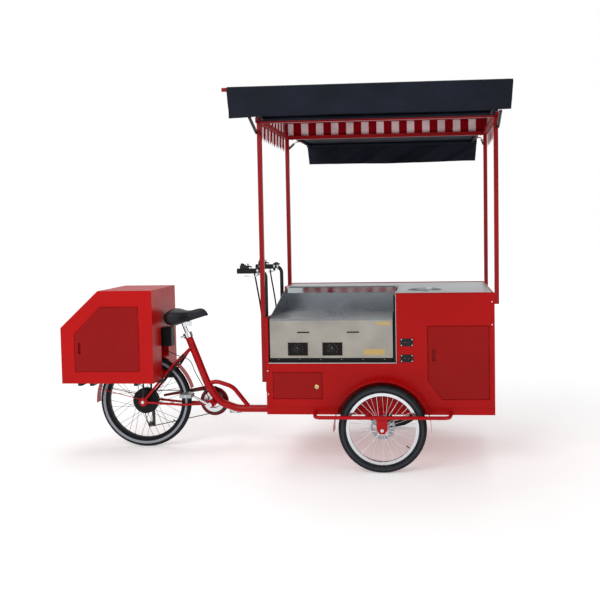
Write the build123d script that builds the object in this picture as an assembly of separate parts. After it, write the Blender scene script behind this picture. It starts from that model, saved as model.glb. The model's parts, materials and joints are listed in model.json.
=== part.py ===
# Vending tricycle: a front-loading food cart steered from a handlebar, pushed by a pedal rear end.
# Millimetres. X runs forward, Y to the left, Z up from the floor.
# Lengths along X are taken from the front axle, and every piece is moved by centre_x when it is
# saved, so that the origin is under the middle of the whole tricycle.
from build123d import *
import math
import os

os.makedirs("parts", exist_ok=True)

# Overall places
wheelbase = 1593.0
cart_front = 652.0           # front face of the cabinet
cart_rear = -688.0           # rear face of the cabinet
cart_width = 960.0
cart_floor = 324.7           # underside of the cabinet
cart_top = 1035.0            # worktop surface
steer_x = -120.0             # vertical steering pivot
gap = 5.0                    # round every door and between moving pieces
running = 0.06               # radial clearance of a pin in its hole
hinge_pin = 2.0              # radius of a door's hinge pin
hinge_length = 40.0

# Cabinet
panel = 15.0                 # panel thickness, and so door thickness
rail = 30.0                  # bottom rail section
floor_thickness = 3.0
worktop_thickness = 20.0
rear_wall_drop = 135.0       # rear wall's lower edge behind the griddle, below the worktop
griddle_front = 82.0         # front end of the griddle bay
griddle_depth = 665.0        # bay depth from the near face
ledge_drop = 403.0           # ledge that the griddle stands on, below the worktop
plate_drop = 142.0           # cooking plate, below the worktop
plate_thickness = 12.0
splash_thickness = 2.0
splash_drop = 10.0           # top edge of the splash walls, below the worktop
griddle_end_gap = 8.0
burner_height = 222.0
big_door_rear = 264.0
big_door_front = 621.0
big_door_bottom = 414.0
big_door_top = 848.0
big_door_chamfer = 80.0
big_door_chamfer_height = 110.0
small_door_rear = -650.0
small_door_front = -354.0
small_door_bottom = 417.0
small_door_top = 577.0
handle_slot_width = 18.0
handle_slot_height = 70.0
big_door_slot_z = 641.0
big_door_slot_in = 36.0      # slot centre from the door's rear edge
lock_radius = 13.0           # round lock on the small door
lock_in = 34.0
lock_z = 490.0
socket_size = 74.0
socket_depth = 10.0
socket_x = 144.0
socket_heights = (658.0, 752.0)
sink_x = 250.0
sink_y = -180.0
sink_radius = 105.0
sink_depth = 120.0
sink_wall = 2.0
sink_rim = 12.0              # flat rim let into the worktop
sink_rim_thickness = 1.5

# Front wheels
front_tyre_radius = 257.0
front_tyre_section = 26.0    # radius of the tyre's round section
wheel_out = 60.0             # wheel's middle plane outside the cabinet's side
rim_width = 24.0
rim_depth = 18.0
spoke_radius = 1.2
spoke_count = 36
hub_radius = 21.0
hub_flange = 29.0
hub_length = 74.0
axle_radius = 6.0
disc_radius = 72.0
disc_thickness = 2.2
disc_offset = 33.0
dropout_thickness = 6.0
dropout_gap = 1.0
guard_gap = 26.0             # mudguard outside the tyre
guard_thickness = 1.6
guard_bar_radius = 11.0
guard_bar_out = 54.0         # bar centre outside the wheel's middle plane
guard_bar_height = 333.0
guard_bar_half = 386.0

# Rear wheel and drive
rear_tyre_radius = 305.0
rear_tyre_section = 25.0
motor_radius = 84.0
motor_width = 52.0
hub_boss_radius = 18.0       # boss and freewheel body on the chain side
hub_boss_gap = 3.0
rear_dropout_y = 64.0
rear_guard_gap = 19.0
rear_guard_width = 66.0
crank_ahead = 443.0          # crank axis ahead of the rear axle
crank_z = 288.0
crank_length = 152.0
arm_y = 69.0
pedal_inner = 80.0
pedal_outer = 156.0
near_crank = 151.0           # direction of the near crank arm, in degrees up from forward
chain_y = 48.0
chainring_radius = 74.0
sprocket_radius = 42.0
bottom_bracket_radius = 20.0
bottom_bracket_width = 72.0

# Rear frame
main_tube_radius = 24.0
arch_tube_radius = 14.0
stay_radius = 8.0
seat_post_radius = 13.0
seat_top_ahead = 296.0       # top of the seat tube, ahead of the rear axle
seat_top_z = 728.0
seat_foot_ahead = 413.0      # where the seat tube bends into the main tube
seat_foot_z = 420.0
saddle_ahead = 290.0
saddle_length = 282.0
saddle_width = 205.0
head_radius = 28.0
head_bottom = 214.0
head_height = 98.0
kingpin_radius = 15.0

# Rear box, its lengths taken from the rear axle
box_behind = 460.0
box_slope_behind = 211.0
box_ahead = 136.0
box_width = 481.0
box_bottom = 460.6
box_shoulder = 816.0
box_top = 1048.0
box_wall = 12.0
box_tunnel_half = 75.0
box_tunnel_top = 790.0
box_tunnel_behind = 367.0
box_door_behind = 373.0
box_door_ahead = 49.0
box_door_bottom = 535.0
box_door_top = 948.0
box_door_slope_rear = 775.0
box_door_slope_behind = 202.0
box_slot_z = 650.0
box_slot_in = 34.0
rack_thickness = 20.6

# Handlebar
bar_radius = 12.0
bar_half_width = 270.0
bar_height = 1166.0
bar_behind = 34.0            # upright legs behind the cabinet
bar_foot = 420.0
grip_reach = 176.0           # from the legs to the ends of the grips
grip_radius = 16.0
grip_length = 118.0
bar_bend = 42.0
cable_radius = 2.5
loom_radius = 5.0            # brake and shifter cables in one sleeve
cable_beside = 22.0          # control cables inside the handlebar legs
controller_low = 668.0
controller_high = 790.0

# Canopy
post_section = 25.0
post_stand_off = 0.3         # between a post and the cabinet wall
post_wall = 2.0
post_rear_foot = 518.0
post_front_foot = 972.0
canopy_height = 2050.0       # centre of the lower bars
canopy_band = 118.0          # striped wall above the lower bars
canopy_crown = 55.0
cloth = 4.0
valence_drop = 92.0
hinge_out = 38.0             # flap hinge line outside the post centres
hinge_up = 6.0
flap_reach = 612.0
flap_tube = 10.0
near_flap_rise = 6.75
far_flap_rise = 0.0
near_flap_half = 690.0
near_flap_flare = 30.0
far_flap_half = 650.0
far_flap_flare = -17.0
near_side_tube_in = 35.0     # side tube inside the end of the hinge tube
far_side_tube_in = 12.0
near_bar_shift = -15.0       # outer bar moved towards the rear
far_bar_shift = 0.0
flap_cloth_gap = 1.0
flap_valence = 150.0
strut_reach = 300.0          # strut's top eye along the flap, from the hinge
strut_foot_drop = 75.0
strut_side = 24.0            # strut beside the flap's side tube
strut_cylinder_radius = 9.0
strut_bore = 7.0
strut_rod_radius = 4.0
strut_cylinder_length = 190.0
strut_rod_length = 170.0
strut_eye_radius = 9.0
strut_pin_radius = 4.0
strut_eye_width = 9.0

# Worked-out places
rear_axle_x = -wheelbase
crank_x = rear_axle_x + crank_ahead
seat_top_x = rear_axle_x + seat_top_ahead
seat_foot_x = rear_axle_x + seat_foot_ahead
saddle_x = rear_axle_x + saddle_ahead
box_rear = rear_axle_x - box_behind
box_slope_end = rear_axle_x - box_slope_behind
box_front = rear_axle_x + box_ahead
box_tunnel_rear = rear_axle_x - box_tunnel_behind
box_door_rear = rear_axle_x - box_door_behind
box_door_front = rear_axle_x + box_door_ahead
box_door_slope_x = rear_axle_x - box_door_slope_behind
bar_x = cart_rear - bar_behind
grip_end = bar_x - grip_reach
half_width = cart_width / 2
rear_wall_top = cart_top - rear_wall_drop
griddle_bottom = cart_top - ledge_drop
plate_top = cart_top - plate_drop
guard_radius = front_tyre_radius + guard_gap
rear_guard_radius = rear_tyre_radius + rear_guard_gap
post_y = half_width - post_section / 2
post_rear_x = cart_rear - post_section / 2 - post_stand_off
post_front_x = cart_front + post_section / 2 + post_stand_off
canopy_x = (post_rear_x + post_front_x) / 2
canopy_half = (post_front_x - post_rear_x) / 2
hinge_y = post_y + hinge_out
hinge_z = canopy_height + hinge_up
wheel_y = half_width + wheel_out
near_strut_x = near_flap_half + near_flap_flare * strut_reach / flap_reach - near_side_tube_in + strut_side
far_strut_x = far_flap_half + strut_side
canopy_end = canopy_x + near_flap_half + near_flap_flare
centre_x = -(box_rear + canopy_end) / 2
griddle_back = -half_width + griddle_depth


def save(shape, name):
    solids = shape.solids()
    part = solids[0] if len(solids) == 1 else Compound(children=list(solids))
    export_step(Pos(centre_x, 0, 0) * part, f"parts/{name}.step")


def block(x0, x1, y0, y1, z0, z1):
    size = (x1 - x0, y1 - y0, z1 - z0)
    return Pos((x0 + x1) / 2, (y0 + y1) / 2, (z0 + z1) / 2) * Box(*size)


def rod(start, end, radius):
    start = Vector(*start)
    line = Vector(*end) - start
    place = Plane(origin=start, z_dir=line)
    return extrude(place * Circle(radius), line.length)


def bent_rod(points, bends, radius):
    path = FilletPolyline(*points, radius=bends)
    return sweep(Plane(origin=path @ 0, z_dir=path % 0) * Circle(radius), path=path)


def disc_y(x, y, z, radius, width):
    return rod((x, y - width / 2, z), (x, y + width / 2, z), radius)


def plate_xz(points, y0, y1):
    outline = Plane.XZ * make_face(Polyline(*points, close=True))
    return Pos(0, y0, 0) * extrude(outline, -(y1 - y0))


def cord(points, radius):
    # straight runs joined by arcs as large as their runs allow
    points = [Vector(*point) for point in points]
    bends = []
    for a, b, c in zip(points, points[1:], points[2:]):
        turn = math.radians((b - a).get_angle(c - b))
        bends.append(0.45 * min((b - a).length, (c - b).length) / math.tan(turn / 2))
    print("smallest cable bend", round(min(bends)))
    path = FilletPolyline(*points, radius=bends)
    return sweep(Plane(origin=path @ 0, z_dir=path % 0) * Circle(radius), path=path)


def ring_y(x, y, z, outer, inner, width):
    return disc_y(x, y, z, outer, width) - disc_y(x, y, z, inner, width + 2)


# ---- Wheels -------------------------------------------------------------------------------------
def tyre(x, y, radius, section, bead):
    ring_radius = radius - section
    ring = Rot(90, 0, 0) * Torus(ring_radius, section)
    cut = Rot(90, 0, 0) * Cylinder(bead, 2 * section + 2)
    return Pos(x, y, radius) * (ring - cut)


def spokes(count, hub_r, rim_r, half_spread):
    laces = Part()
    step = 360 / count
    for i in range(count):
        side = half_spread if i % 2 else -half_spread
        lean = 2.5 * step if (i // 2) % 2 else -2.5 * step
        turn = math.radians(i * step)
        foot = math.radians(i * step + lean)
        start = (hub_r * math.cos(foot), side, hub_r * math.sin(foot))
        end = (rim_r * math.cos(turn), 0, rim_r * math.sin(turn))
        laces += rod(start, end, spoke_radius)
    return laces


def rim(bead):
    outer = ring_y(0, 0, 0, bead, bead - rim_depth, rim_width)
    return outer


def front_wheel(y):
    bead = front_tyre_radius - 1.75 * front_tyre_section
    hub = disc_y(0, 0, 0, hub_radius, hub_length)
    flanges = disc_y(0, hub_flange, 0, hub_radius + 8, 4) + disc_y(0, -hub_flange, 0, hub_radius + 8, 4)
    lace = spokes(spoke_count, hub_radius + 4, bead - rim_depth + 2, hub_flange)
    wheel = rim(bead) + hub + flanges + lace
    wheel -= disc_y(0, 0, 0, axle_radius + running, hub_length + 10)
    return Pos(0, y, front_tyre_radius) * wheel


def front_tyre(y):
    bead = front_tyre_radius - 1.75 * front_tyre_section
    return tyre(0, y, front_tyre_radius, front_tyre_section, bead)


def brake_disc(y):
    side = 1 if y < 0 else -1
    inner = hub_radius + 0.2
    disc = ring_y(0, y + side * disc_offset, front_tyre_radius, disc_radius, inner, disc_thickness)
    for i in range(6):
        turn = math.radians(60 * i)
        x = 0.66 * disc_radius * math.cos(turn)
        z = front_tyre_radius + 0.66 * disc_radius * math.sin(turn)
        disc -= disc_y(x, y + side * disc_offset, z, 11, 10)
    return disc


def front_axle(y):
    reach = hub_length / 2 + dropout_gap + dropout_thickness + 10
    axle = disc_y(0, y, front_tyre_radius, axle_radius, 2 * reach)
    for side in (-1, 1):
        nut_y = y + side * (hub_length / 2 + dropout_gap + dropout_thickness + 4)
        axle += disc_y(0, nut_y, front_tyre_radius, 10, 7.9)
    return axle


for side, y in (("right", -wheel_y), ("left", wheel_y)):
    save(front_wheel(y), f"front_wheel_{side}")
    save(front_tyre(y), f"front_tyre_{side}")
    save(brake_disc(y), f"brake_disc_{side}")
save(front_axle(-wheel_y) + front_axle(wheel_y), "front_axles")


def rear_rim_and_spokes():
    bead = rear_tyre_radius - 1.75 * rear_tyre_section
    lace = spokes(spoke_count, motor_radius - 4, bead - rim_depth + 2, 18)
    wheel = rim(bead) + lace
    wheel -= disc_y(0, 0, 0, motor_radius, 60)
    return Pos(rear_axle_x, 0, rear_tyre_radius) * wheel


def hub_motor():
    body = disc_y(0, 0, 0, motor_radius, motor_width)
    body = chamfer(body.edges().filter_by(GeomType.CIRCLE), 8)
    boss_end = rear_dropout_y - dropout_thickness / 2 - hub_boss_gap
    body += disc_y(0, boss_end / 2, 0, hub_boss_radius, boss_end)
    for i in range(3):
        body += disc_y(0, chain_y - 9 + 5 * i, 0, sprocket_radius + 8 - 6 * i, 2)   # freewheel cogs
    body -= disc_y(0, 0, 0, axle_radius + running, 140)
    return Pos(rear_axle_x, 0, rear_tyre_radius) * body


def rear_axle():
    axle = disc_y(0, 0, 0, axle_radius, 2 * rear_dropout_y + 34)
    for side in (-1, 1):
        axle += disc_y(0, side * (rear_dropout_y + 7.05), 0, 10, 8)
    return Pos(rear_axle_x, 0, rear_tyre_radius) * axle


save(rear_rim_and_spokes(), "rear_rim")
save(tyre(rear_axle_x, 0, rear_tyre_radius, rear_tyre_section, rear_tyre_radius - 1.75 * rear_tyre_section),
     "rear_tyre")
save(hub_motor(), "hub_motor")
save(rear_axle(), "rear_axle")


# ---- Rear frame ---------------------------------------------------------------------------------
def main_frame():
    head_mid = head_bottom + head_height / 2
    points = [
        (seat_top_x, 0, seat_top_z),
        (seat_foot_x, 0, seat_foot_z),
        (seat_foot_x + 70, 0, 300),
        (seat_foot_x + 200, 0, 252),
        (steer_x - head_radius + 6, 0, head_mid - 10),
    ]
    tube = bent_rod(points, (300, 130, 200), main_tube_radius)
    shell = disc_y(crank_x, 0, crank_z, bottom_bracket_radius + 6, bottom_bracket_width)
    bridge = rod((crank_x, 0, crank_z), (crank_x + 40, 0, crank_z + 32), 16)
    sleeve = rod((steer_x, 0, head_bottom), (steer_x, 0, head_bottom + head_height), head_radius)
    frame = tube + shell + bridge + sleeve
    frame -= rod((steer_x, 0, head_bottom - 5), (steer_x, 0, head_bottom + head_height + 5),
                 kingpin_radius + running)
    frame -= disc_y(crank_x, 0, crank_z, bottom_bracket_radius - 10 + running, 2 * bottom_bracket_width)
    frame -= rod((seat_top_x - 30, 0, seat_top_z + 79), (seat_top_x + 60, 0, seat_top_z - 158),
                 seat_post_radius + running)
    return frame


def arch_tube():
    x = seat_foot_x
    points = [(x - 12, 0, 410), (x + 60, 0, 432), (x + 170, 0, 396), (x + 275, 0, 262)]
    return bent_rod(points, (90, 120), arch_tube_radius)


def one_side_stays(side):
    y = side * rear_dropout_y
    axle = (rear_axle_x, y, rear_tyre_radius)
    seat_points = [(seat_top_x + 35, side * 20, 672), (rear_axle_x + 248, side * 56, 590),
                   (rear_axle_x + 198, y, 540), axle]
    seat_stay = bent_rod(seat_points, (60, 60), stay_radius)
    chain_points = [axle, (rear_axle_x + 248, side * 42, 284), (crank_x - 22, side * 28, crank_z)]
    chain_stay = bent_rod(chain_points, (150,), stay_radius)
    dropout = disc_y(rear_axle_x, y, rear_tyre_radius, 28, dropout_thickness)
    tab = block(rear_axle_x - 3, rear_axle_x + 3, y - 3, y + 3, rear_tyre_radius + 20, rear_tyre_radius + 40)
    frame = seat_stay + chain_stay + dropout + tab
    frame -= disc_y(rear_axle_x, y, rear_tyre_radius, axle_radius, 60)
    room = hub_boss_radius + hub_boss_gap
    for out in (-13, 13):
        frame -= disc_y(rear_axle_x, side * (rear_dropout_y + out), rear_tyre_radius, room, 20)
    return frame - main_frame_solid


main_frame_solid = main_frame()
save(main_frame_solid + arch_tube(), "main_frame")
rear_stays = one_side_stays(-1) + one_side_stays(1)
save(rear_stays, "rear_stays")


def seat_axis(height):
    lean = (seat_foot_x - seat_top_x) / (seat_top_z - seat_foot_z)
    return seat_top_x - lean * (height - seat_top_z)


def seat_post():
    low = (seat_axis(610), 0, 610)
    high = (seat_axis(818), 0, 818)
    post = rod(low, high, seat_post_radius)
    clamp = rod((seat_axis(722), 0, 722), (seat_axis(752), 0, 752), main_tube_radius + 6)
    clamp -= rod((seat_axis(700), 0, 700), (seat_axis(seat_top_z), 0, seat_top_z), main_tube_radius + 0.1)
    lever = rod((seat_axis(738) + 26, 0, 740), (seat_axis(738) - 40, -30, 724), 6)
    head = block(saddle_x - 22, saddle_x + 26, -20, 20, 796, 826)
    return post + (clamp + lever - main_frame_solid) + head


def saddle():
    mid = saddle_x
    back = mid - saddle_length / 2
    nose = mid + saddle_length / 2
    top = Spline((back, 0, 866), (back + 62, 0, 908), (mid, 0, 899), (nose - 55, 0, 912), (nose, 0, 886))
    under = Polyline((nose, 0, 886), (nose - 74, 0, 840), (mid - 34, 0, 800), (back + 66, 0, 790), (back, 0, 846),
                     (back, 0, 866))
    side = make_face(Wire([*top.edges(), *under.edges()]))
    body = extrude(side, saddle_width / 2, both=True)
    half = saddle_width / 2
    plan = Polyline((back - 1, half - 20), (back + 30, half), (back + 84, half), (mid + 20, 34), (nose - 20, 24),
                    (nose + 1, 12), (nose + 1, -12), (nose - 20, -24), (mid + 20, -34), (back + 84, -half),
                    (back + 30, -half), (back - 1, 20 - half), close=True)
    outline = Pos(0, 0, 700) * extrude(make_face(plan), 300)
    hollow = block(saddle_x - 24, saddle_x + 28, -22, 22, 780, 828)
    return (body & outline) - hollow - seat_post_solid


seat_post_solid = seat_post()
save(seat_post_solid, "seat_post")
save(saddle(), "saddle")


def arc_band(radius, thickness, width, start, end, centre_z):
    outer = disc_y(0, 0, 0, radius, width) - disc_y(0, 0, 0, radius - thickness, width + 2)
    far = 3 * radius
    points = [(0, 0)]
    steps = 6
    for i in range(steps + 1):
        turn = math.radians(start + (end - start) * i / steps)
        points.append((far * math.cos(turn), far * math.sin(turn)))
    wedge = plate_xz([(x, z) for x, z in points], -width, width)
    return Pos(0, 0, centre_z) * (outer & wedge)


def rear_guard():
    band = arc_band(rear_guard_radius, guard_thickness, rear_guard_width, 15, 182, rear_tyre_radius)
    band = Pos(rear_axle_x, 0, 0) * band
    for side in (-1, 1):
        y = side * (rear_guard_width / 2 - 1)
        start = (rear_axle_x - 24, side * (rear_dropout_y - 8), rear_tyre_radius + 18)
        corner = math.radians(165)
        reach = rear_guard_radius - guard_thickness / 2
        end = (rear_axle_x + reach * math.cos(corner), y, rear_tyre_radius + reach * math.sin(corner))
        band += rod(start, end, 2.5)
    return band


save(rear_guard(), "rear_mudguard")


def rack():
    frame = Part()
    rack_low = box_bottom - rack_thickness
    for side in (-1, 1):
        low = (rear_axle_x + 8, side * (rear_dropout_y + 10.5), rear_tyre_radius + 34)
        frame += rod(low, (rear_axle_x + 8, side * (rear_dropout_y + 10.5), 448), 6)
    half = box_width / 2 - 30
    for side in (-1, 1):
        y = side * (box_tunnel_half + 12)
        frame += block(rear_axle_x - 350, rear_axle_x + 155, y - 9, y + 9, rack_low, box_bottom)
        for x in (rear_axle_x - 280, rear_axle_x + 8):
            frame += block(x - 12, x + 12, min(y, side * half), max(y, side * half), rack_low, box_bottom)
        frame += rod((rear_axle_x + 154, y, 450), (rear_axle_x + 275, side * 50, 616), 7)
    frame += block(rear_axle_x - 370, rear_axle_x - 345, -half, half, rack_low, box_bottom)
    return frame - rear_stays


save(rack(), "box_rack")


# ---- Rear box -----------------------------------------------------------------------------------
def hinge_barrels(hinge_x, jamb_x, face_y, heights):
    # round pins on the left face, each on a leaf let into the jamb beside the door
    barrels = Part()
    for z in heights:
        barrels += rod((hinge_x, face_y, z), (hinge_x, face_y, z + hinge_length), hinge_pin)
        barrels += block(min(hinge_x, jamb_x), max(hinge_x, jamb_x), face_y - hinge_pin, face_y, z, z + hinge_length)
    return barrels


def box_outline(inset):
    slope = math.atan2(box_top - box_shoulder, box_slope_end - box_rear)
    shift = inset * math.tan(slope / 2)
    return [
        (box_rear + inset, box_bottom + inset),
        (box_front - inset, box_bottom + inset),
        (box_front - inset, box_top - inset),
        (box_slope_end + shift, box_top - inset),
        (box_rear + inset, box_shoulder - inset * math.tan((math.pi / 2 - slope) / 2)),
    ]


def box_door_outline(inset):
    slope = math.atan2(box_door_top - box_door_slope_rear, box_door_slope_x - box_door_rear)
    shift = inset * math.tan(slope / 2)
    return [
        (box_door_rear + inset, box_door_bottom + inset),
        (box_door_front - inset, box_door_bottom + inset),
        (box_door_front - inset, box_door_top - inset),
        (box_door_slope_x + shift, box_door_top - inset),
        (box_door_rear + inset, box_door_slope_rear - inset * math.tan((math.pi / 2 - slope) / 2)),
    ]


def box_shell():
    half = box_width / 2
    shell = plate_xz(box_outline(0), -half, half)
    tunnel_out = box_tunnel_half + box_wall
    for side in (-1, 1):
        low = tunnel_out if side > 0 else -half + box_wall
        high = half - box_wall if side > 0 else -tunnel_out
        shell -= plate_xz(box_outline(box_wall), low, high)
        shell -= plate_xz(box_door_outline(0), side * half - box_wall - 1, side * half + box_wall + 1)
    middle = block(box_rear + box_wall, box_front - box_wall, -tunnel_out - 1, tunnel_out + 1,
                   box_tunnel_top + box_wall, box_top)
    inside = plate_xz(box_outline(box_wall), -tunnel_out - 1, tunnel_out + 1)
    shell -= middle & inside
    shell -= block(box_rear + box_wall, box_tunnel_rear - box_wall, -tunnel_out - 1, tunnel_out + 1,
                   box_bottom + box_wall, box_tunnel_top + box_wall + 1) & inside
    shell -= block(box_tunnel_rear, box_front + 1, -box_tunnel_half, box_tunnel_half, box_bottom - 1, box_tunnel_top)
    barrels = hinge_barrels(box_door_front - gap / 2, box_door_front + 1, half, (590, 850))
    return shell + barrels + mirror(barrels, Plane.XZ)


def box_door(side):
    half = box_width / 2
    low = half - box_wall if side > 0 else -half
    door = plate_xz(box_door_outline(gap), low, low + box_wall)
    slot_x = box_door_rear + box_slot_in
    return door - block(slot_x - handle_slot_width / 2, slot_x + handle_slot_width / 2, low - 1, low + box_wall + 1,
                        box_slot_z, box_slot_z + handle_slot_height)


save(box_shell(), "rear_box")
save(box_door(-1), "rear_box_door_right")
save(box_door(1), "rear_box_door_left")
save(block(box_front - 21, box_front + 55, -34, 34, controller_low, controller_high), "motor_controller")


def motor_cable():
    # out of the controller, across to the seat tube and down behind it to the crank bearing's shell
    points = [(box_front + 6, controller_low), (box_front + 10, 646), (box_front + 32, 630), (box_front + 62, 618),
              (box_front + 94, 602), (box_front + 134, 592), (box_front + 166, 576), (box_front + 186, 546),
              (box_front + 196, 510), (box_front + 214, 474), (box_front + 236, 436), (box_front + 256, 396),
              (box_front + 274, 356), (crank_x - 16, 322), (crank_x - 8, 300)]
    return cord([(x, -20, z) for x, z in points], cable_radius) - main_frame_solid


save(motor_cable(), "motor_cable")


# ---- Drive --------------------------------------------------------------------------------------
def crankset():
    spindle = disc_y(crank_x, 0, crank_z, bottom_bracket_radius - 10, 2 * arm_y + 8)
    ring = ring_y(crank_x, chain_y, crank_z, chainring_radius - 4, 44, 3)
    for i in range(5):
        turn = math.radians(72 * i)
        tip = (crank_x + 50 * math.cos(turn), chain_y, crank_z + 50 * math.sin(turn))
        ring += rod((crank_x, chain_y, crank_z), tip, 3)
    ring += disc_y(crank_x, chain_y, crank_z, 16, 8)
    crank = spindle + ring
    for side, turn in ((-1, near_crank), (1, near_crank + 180)):
        angle = math.radians(turn)
        end_x = crank_x + crank_length * math.cos(angle)
        end_z = crank_z + crank_length * math.sin(angle)
        y = side * arm_y
        arm = disc_y(crank_x, y, crank_z, 15, 10) + disc_y(end_x, y, end_z, 13, 10)
        arm += rod((crank_x, y, crank_z), (end_x, y, end_z), 8)
        arm += disc_y(end_x, side * (arm_y + pedal_outer) / 2, end_z, 5, pedal_outer - arm_y - 4)
        crank += arm
    return crank


def pedal(side, turn):
    angle = math.radians(turn)
    x = crank_x + crank_length * math.cos(angle)
    z = crank_z + crank_length * math.sin(angle)
    inner = side * pedal_inner
    outer = side * pedal_outer
    body = block(x - 38, x + 38, min(inner, outer), max(inner, outer), z - 11, z + 11)
    body -= disc_y(x, side * 118, z, 5 + running, 90)
    return body


def chain_loop():
    front = (crank_x, crank_z, chainring_radius)
    rear = (rear_axle_x, rear_tyre_radius, sprocket_radius + 14)
    low = (rear_axle_x + 8, 134, 16)
    width = 6

    def span(a, b, side):
        line = math.atan2(b[1] - a[1], b[0] - a[0]) + side * math.pi / 2
        return ((a[0] + a[2] * math.cos(line), a[1] + a[2] * math.sin(line)),
                (b[0] + b[2] * math.cos(line), b[1] + b[2] * math.sin(line)))

    upper = span(rear, front, 1)
    lower = span(low, front, -1)
    back = span(rear, low, -1)
    loop = Part()
    for start, end in (upper, lower, back):
        loop += rod((start[0], chain_y, start[1]), (end[0], chain_y, end[1]), width / 2)
    around = ring_y(crank_x, chain_y, crank_z, chainring_radius + width / 2, chainring_radius - width / 2 + 1, width)
    loop += around & block(crank_x - 10, crank_x + 200, 0, 100, crank_z - 90, crank_z + 90)
    around = ring_y(rear_axle_x, chain_y, rear_tyre_radius, rear[2] + width / 2, rear[2] - width / 2 + 1, width)
    loop += around & block(rear_axle_x - 200, rear_axle_x + 4, 0, 100, rear_tyre_radius - 90, rear_tyre_radius + 90)
    around = ring_y(low[0], chain_y, low[1], low[2] + width / 2, low[2] - width / 2 + 1, width)
    loop += around & block(low[0] - 200, low[0] + 4, 0, 100, low[1] - 90, low[1] + 90)
    return loop


def chain_guard():
    y0 = chain_y + 9
    outline = [(-344, 334), (-88, 384), (-50, 392), (10, 388), (60, 360), (90, 312), (86, 300), (50, 344), (0, 364),
               (-60, 360), (-344, 318)]
    cheek = plate_xz([(crank_x + x, z) for x, z in outline], y0, y0 + 2)
    disc = ring_y(crank_x, y0 + 1, crank_z, chainring_radius + 22, 40, 2)
    return cheek + disc


def derailleur():
    y = chain_y
    x = rear_axle_x + 26
    body = block(x - 10, x + 10, y + 9, y + 15, 118, 250)
    body += rod((x - 4, y + 12, 250), (rear_axle_x + 14, rear_dropout_y - 5, rear_tyre_radius - 26), 8)
    body += ring_y(rear_axle_x + 8, y, 134, 12, 5, 5)
    body += disc_y(rear_axle_x + 8, y + 4, 134, 6, 14)
    body += block(rear_axle_x + 2, x + 2, y + 9, y + 13, 122, 146)
    return body - rear_stays


save(crankset(), "crankset")
save(pedal(-1, near_crank), "pedal_right")
save(pedal(1, near_crank + 180), "pedal_left")
save(chain_loop(), "chain")
save(chain_guard(), "chain_guard")
save(derailleur(), "derailleur")


# ---- Cart chassis -------------------------------------------------------------------------------
rail_top = cart_floor + rail
guard_bar_y = wheel_y + guard_bar_out
inner_dropout = wheel_y - hub_length / 2 - dropout_gap
outer_dropout = wheel_y + hub_length / 2 + dropout_gap


def chassis():
    frame = block(cart_rear, cart_front, -half_width, half_width, cart_floor, rail_top)
    frame -= block(cart_rear + rail, cart_front - rail, -half_width + rail, half_width - rail,
                   cart_floor - 1, rail_top + 1)
    for x in (steer_x - 60, steer_x + 60, cart_front / 2 + 60, (cart_rear + steer_x) / 2):
        frame += block(x - rail / 2, x + rail / 2, -half_width + rail, half_width - rail, cart_floor, rail_top)
    return frame


def kingpin():
    pin = rod((steer_x, 0, head_bottom - 12), (steer_x, 0, cart_floor), kingpin_radius)
    plate = block(steer_x - 74, steer_x + 74, -60, 60, head_bottom + head_height + 1, cart_floor)
    nut = rod((steer_x, 0, head_bottom - 14), (steer_x, 0, head_bottom - 1), kingpin_radius + 9)
    return pin + plate + nut


def dropouts(side):
    low = front_tyre_radius - 22
    shape = [(-20, low), (20, low), (26, front_tyre_radius), (44, cart_floor), (44, rail_top), (-44, rail_top),
             (-44, cart_floor), (-26, front_tyre_radius)]
    inner = plate_xz(shape, side * (inner_dropout - dropout_thickness), side * inner_dropout) if side > 0 else \
        plate_xz(shape, -inner_dropout, -inner_dropout + dropout_thickness)
    spacer = block(-44, 44, half_width, inner_dropout, cart_floor, rail_top)
    if side < 0:
        spacer = mirror(spacer, Plane.XZ)
    outer_shape = [(-15, low), (15, low), (30, front_tyre_radius), (34, guard_bar_height), (-34, guard_bar_height),
                   (-30, front_tyre_radius)]
    outer = plate_xz(outer_shape, outer_dropout, outer_dropout + dropout_thickness)
    if side < 0:
        outer = mirror(outer, Plane.XZ)
    plates = inner + spacer + outer
    plates -= disc_y(0, side * wheel_y, front_tyre_radius, axle_radius, 3 * hub_length)
    return plates


def guard_bar(side):
    y = side * guard_bar_y
    points = [(-guard_bar_half - 16, side * (half_width - 4), rail_top - 16), (-guard_bar_half, y, guard_bar_height),
              (guard_bar_half, y, guard_bar_height), (guard_bar_half + 16, side * (half_width - 4), rail_top - 16)]
    bar = bent_rod(points, (34, 34), guard_bar_radius)
    bar -= block(-900, 900, -half_width, half_width, 0, 900)
    return bar


def mudguard(side):
    width = guard_bar_y - guard_bar_radius - half_width - 1
    band = arc_band(guard_radius, guard_thickness, width, -3, 183, front_tyre_radius)
    return Pos(0, side * (half_width + 0.5 + width / 2), 0) * band


chassis_solid = chassis()
save(chassis_solid + kingpin(), "chassis")
guard_bars = guard_bar(-1) + guard_bar(1)
save(guard_bars + dropouts(-1) + dropouts(1), "wheel_guards")
save(mudguard(-1) + mudguard(1) - guard_bars, "front_mudguards")


# ---- Cabinet ------------------------------------------------------------------------------------
def big_door_outline(inset):
    slope = math.atan2(big_door_chamfer_height, big_door_chamfer)
    x0 = big_door_rear + inset
    z0 = big_door_bottom + inset
    low = inset * math.tan(slope / 2)
    high = inset * math.tan((math.pi / 2 - slope) / 2)
    return [
        (big_door_rear + big_door_chamfer + low, z0),
        (big_door_front - inset, z0),
        (big_door_front - inset, big_door_top - inset),
        (x0, big_door_top - inset),
        (x0, big_door_bottom + big_door_chamfer_height + high),
    ]


def small_door_outline(inset):
    return [
        (small_door_rear + inset, small_door_bottom + inset),
        (small_door_front - inset, small_door_bottom + inset),
        (small_door_front - inset, small_door_top - inset),
        (small_door_rear + inset, small_door_top - inset),
    ]


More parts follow.
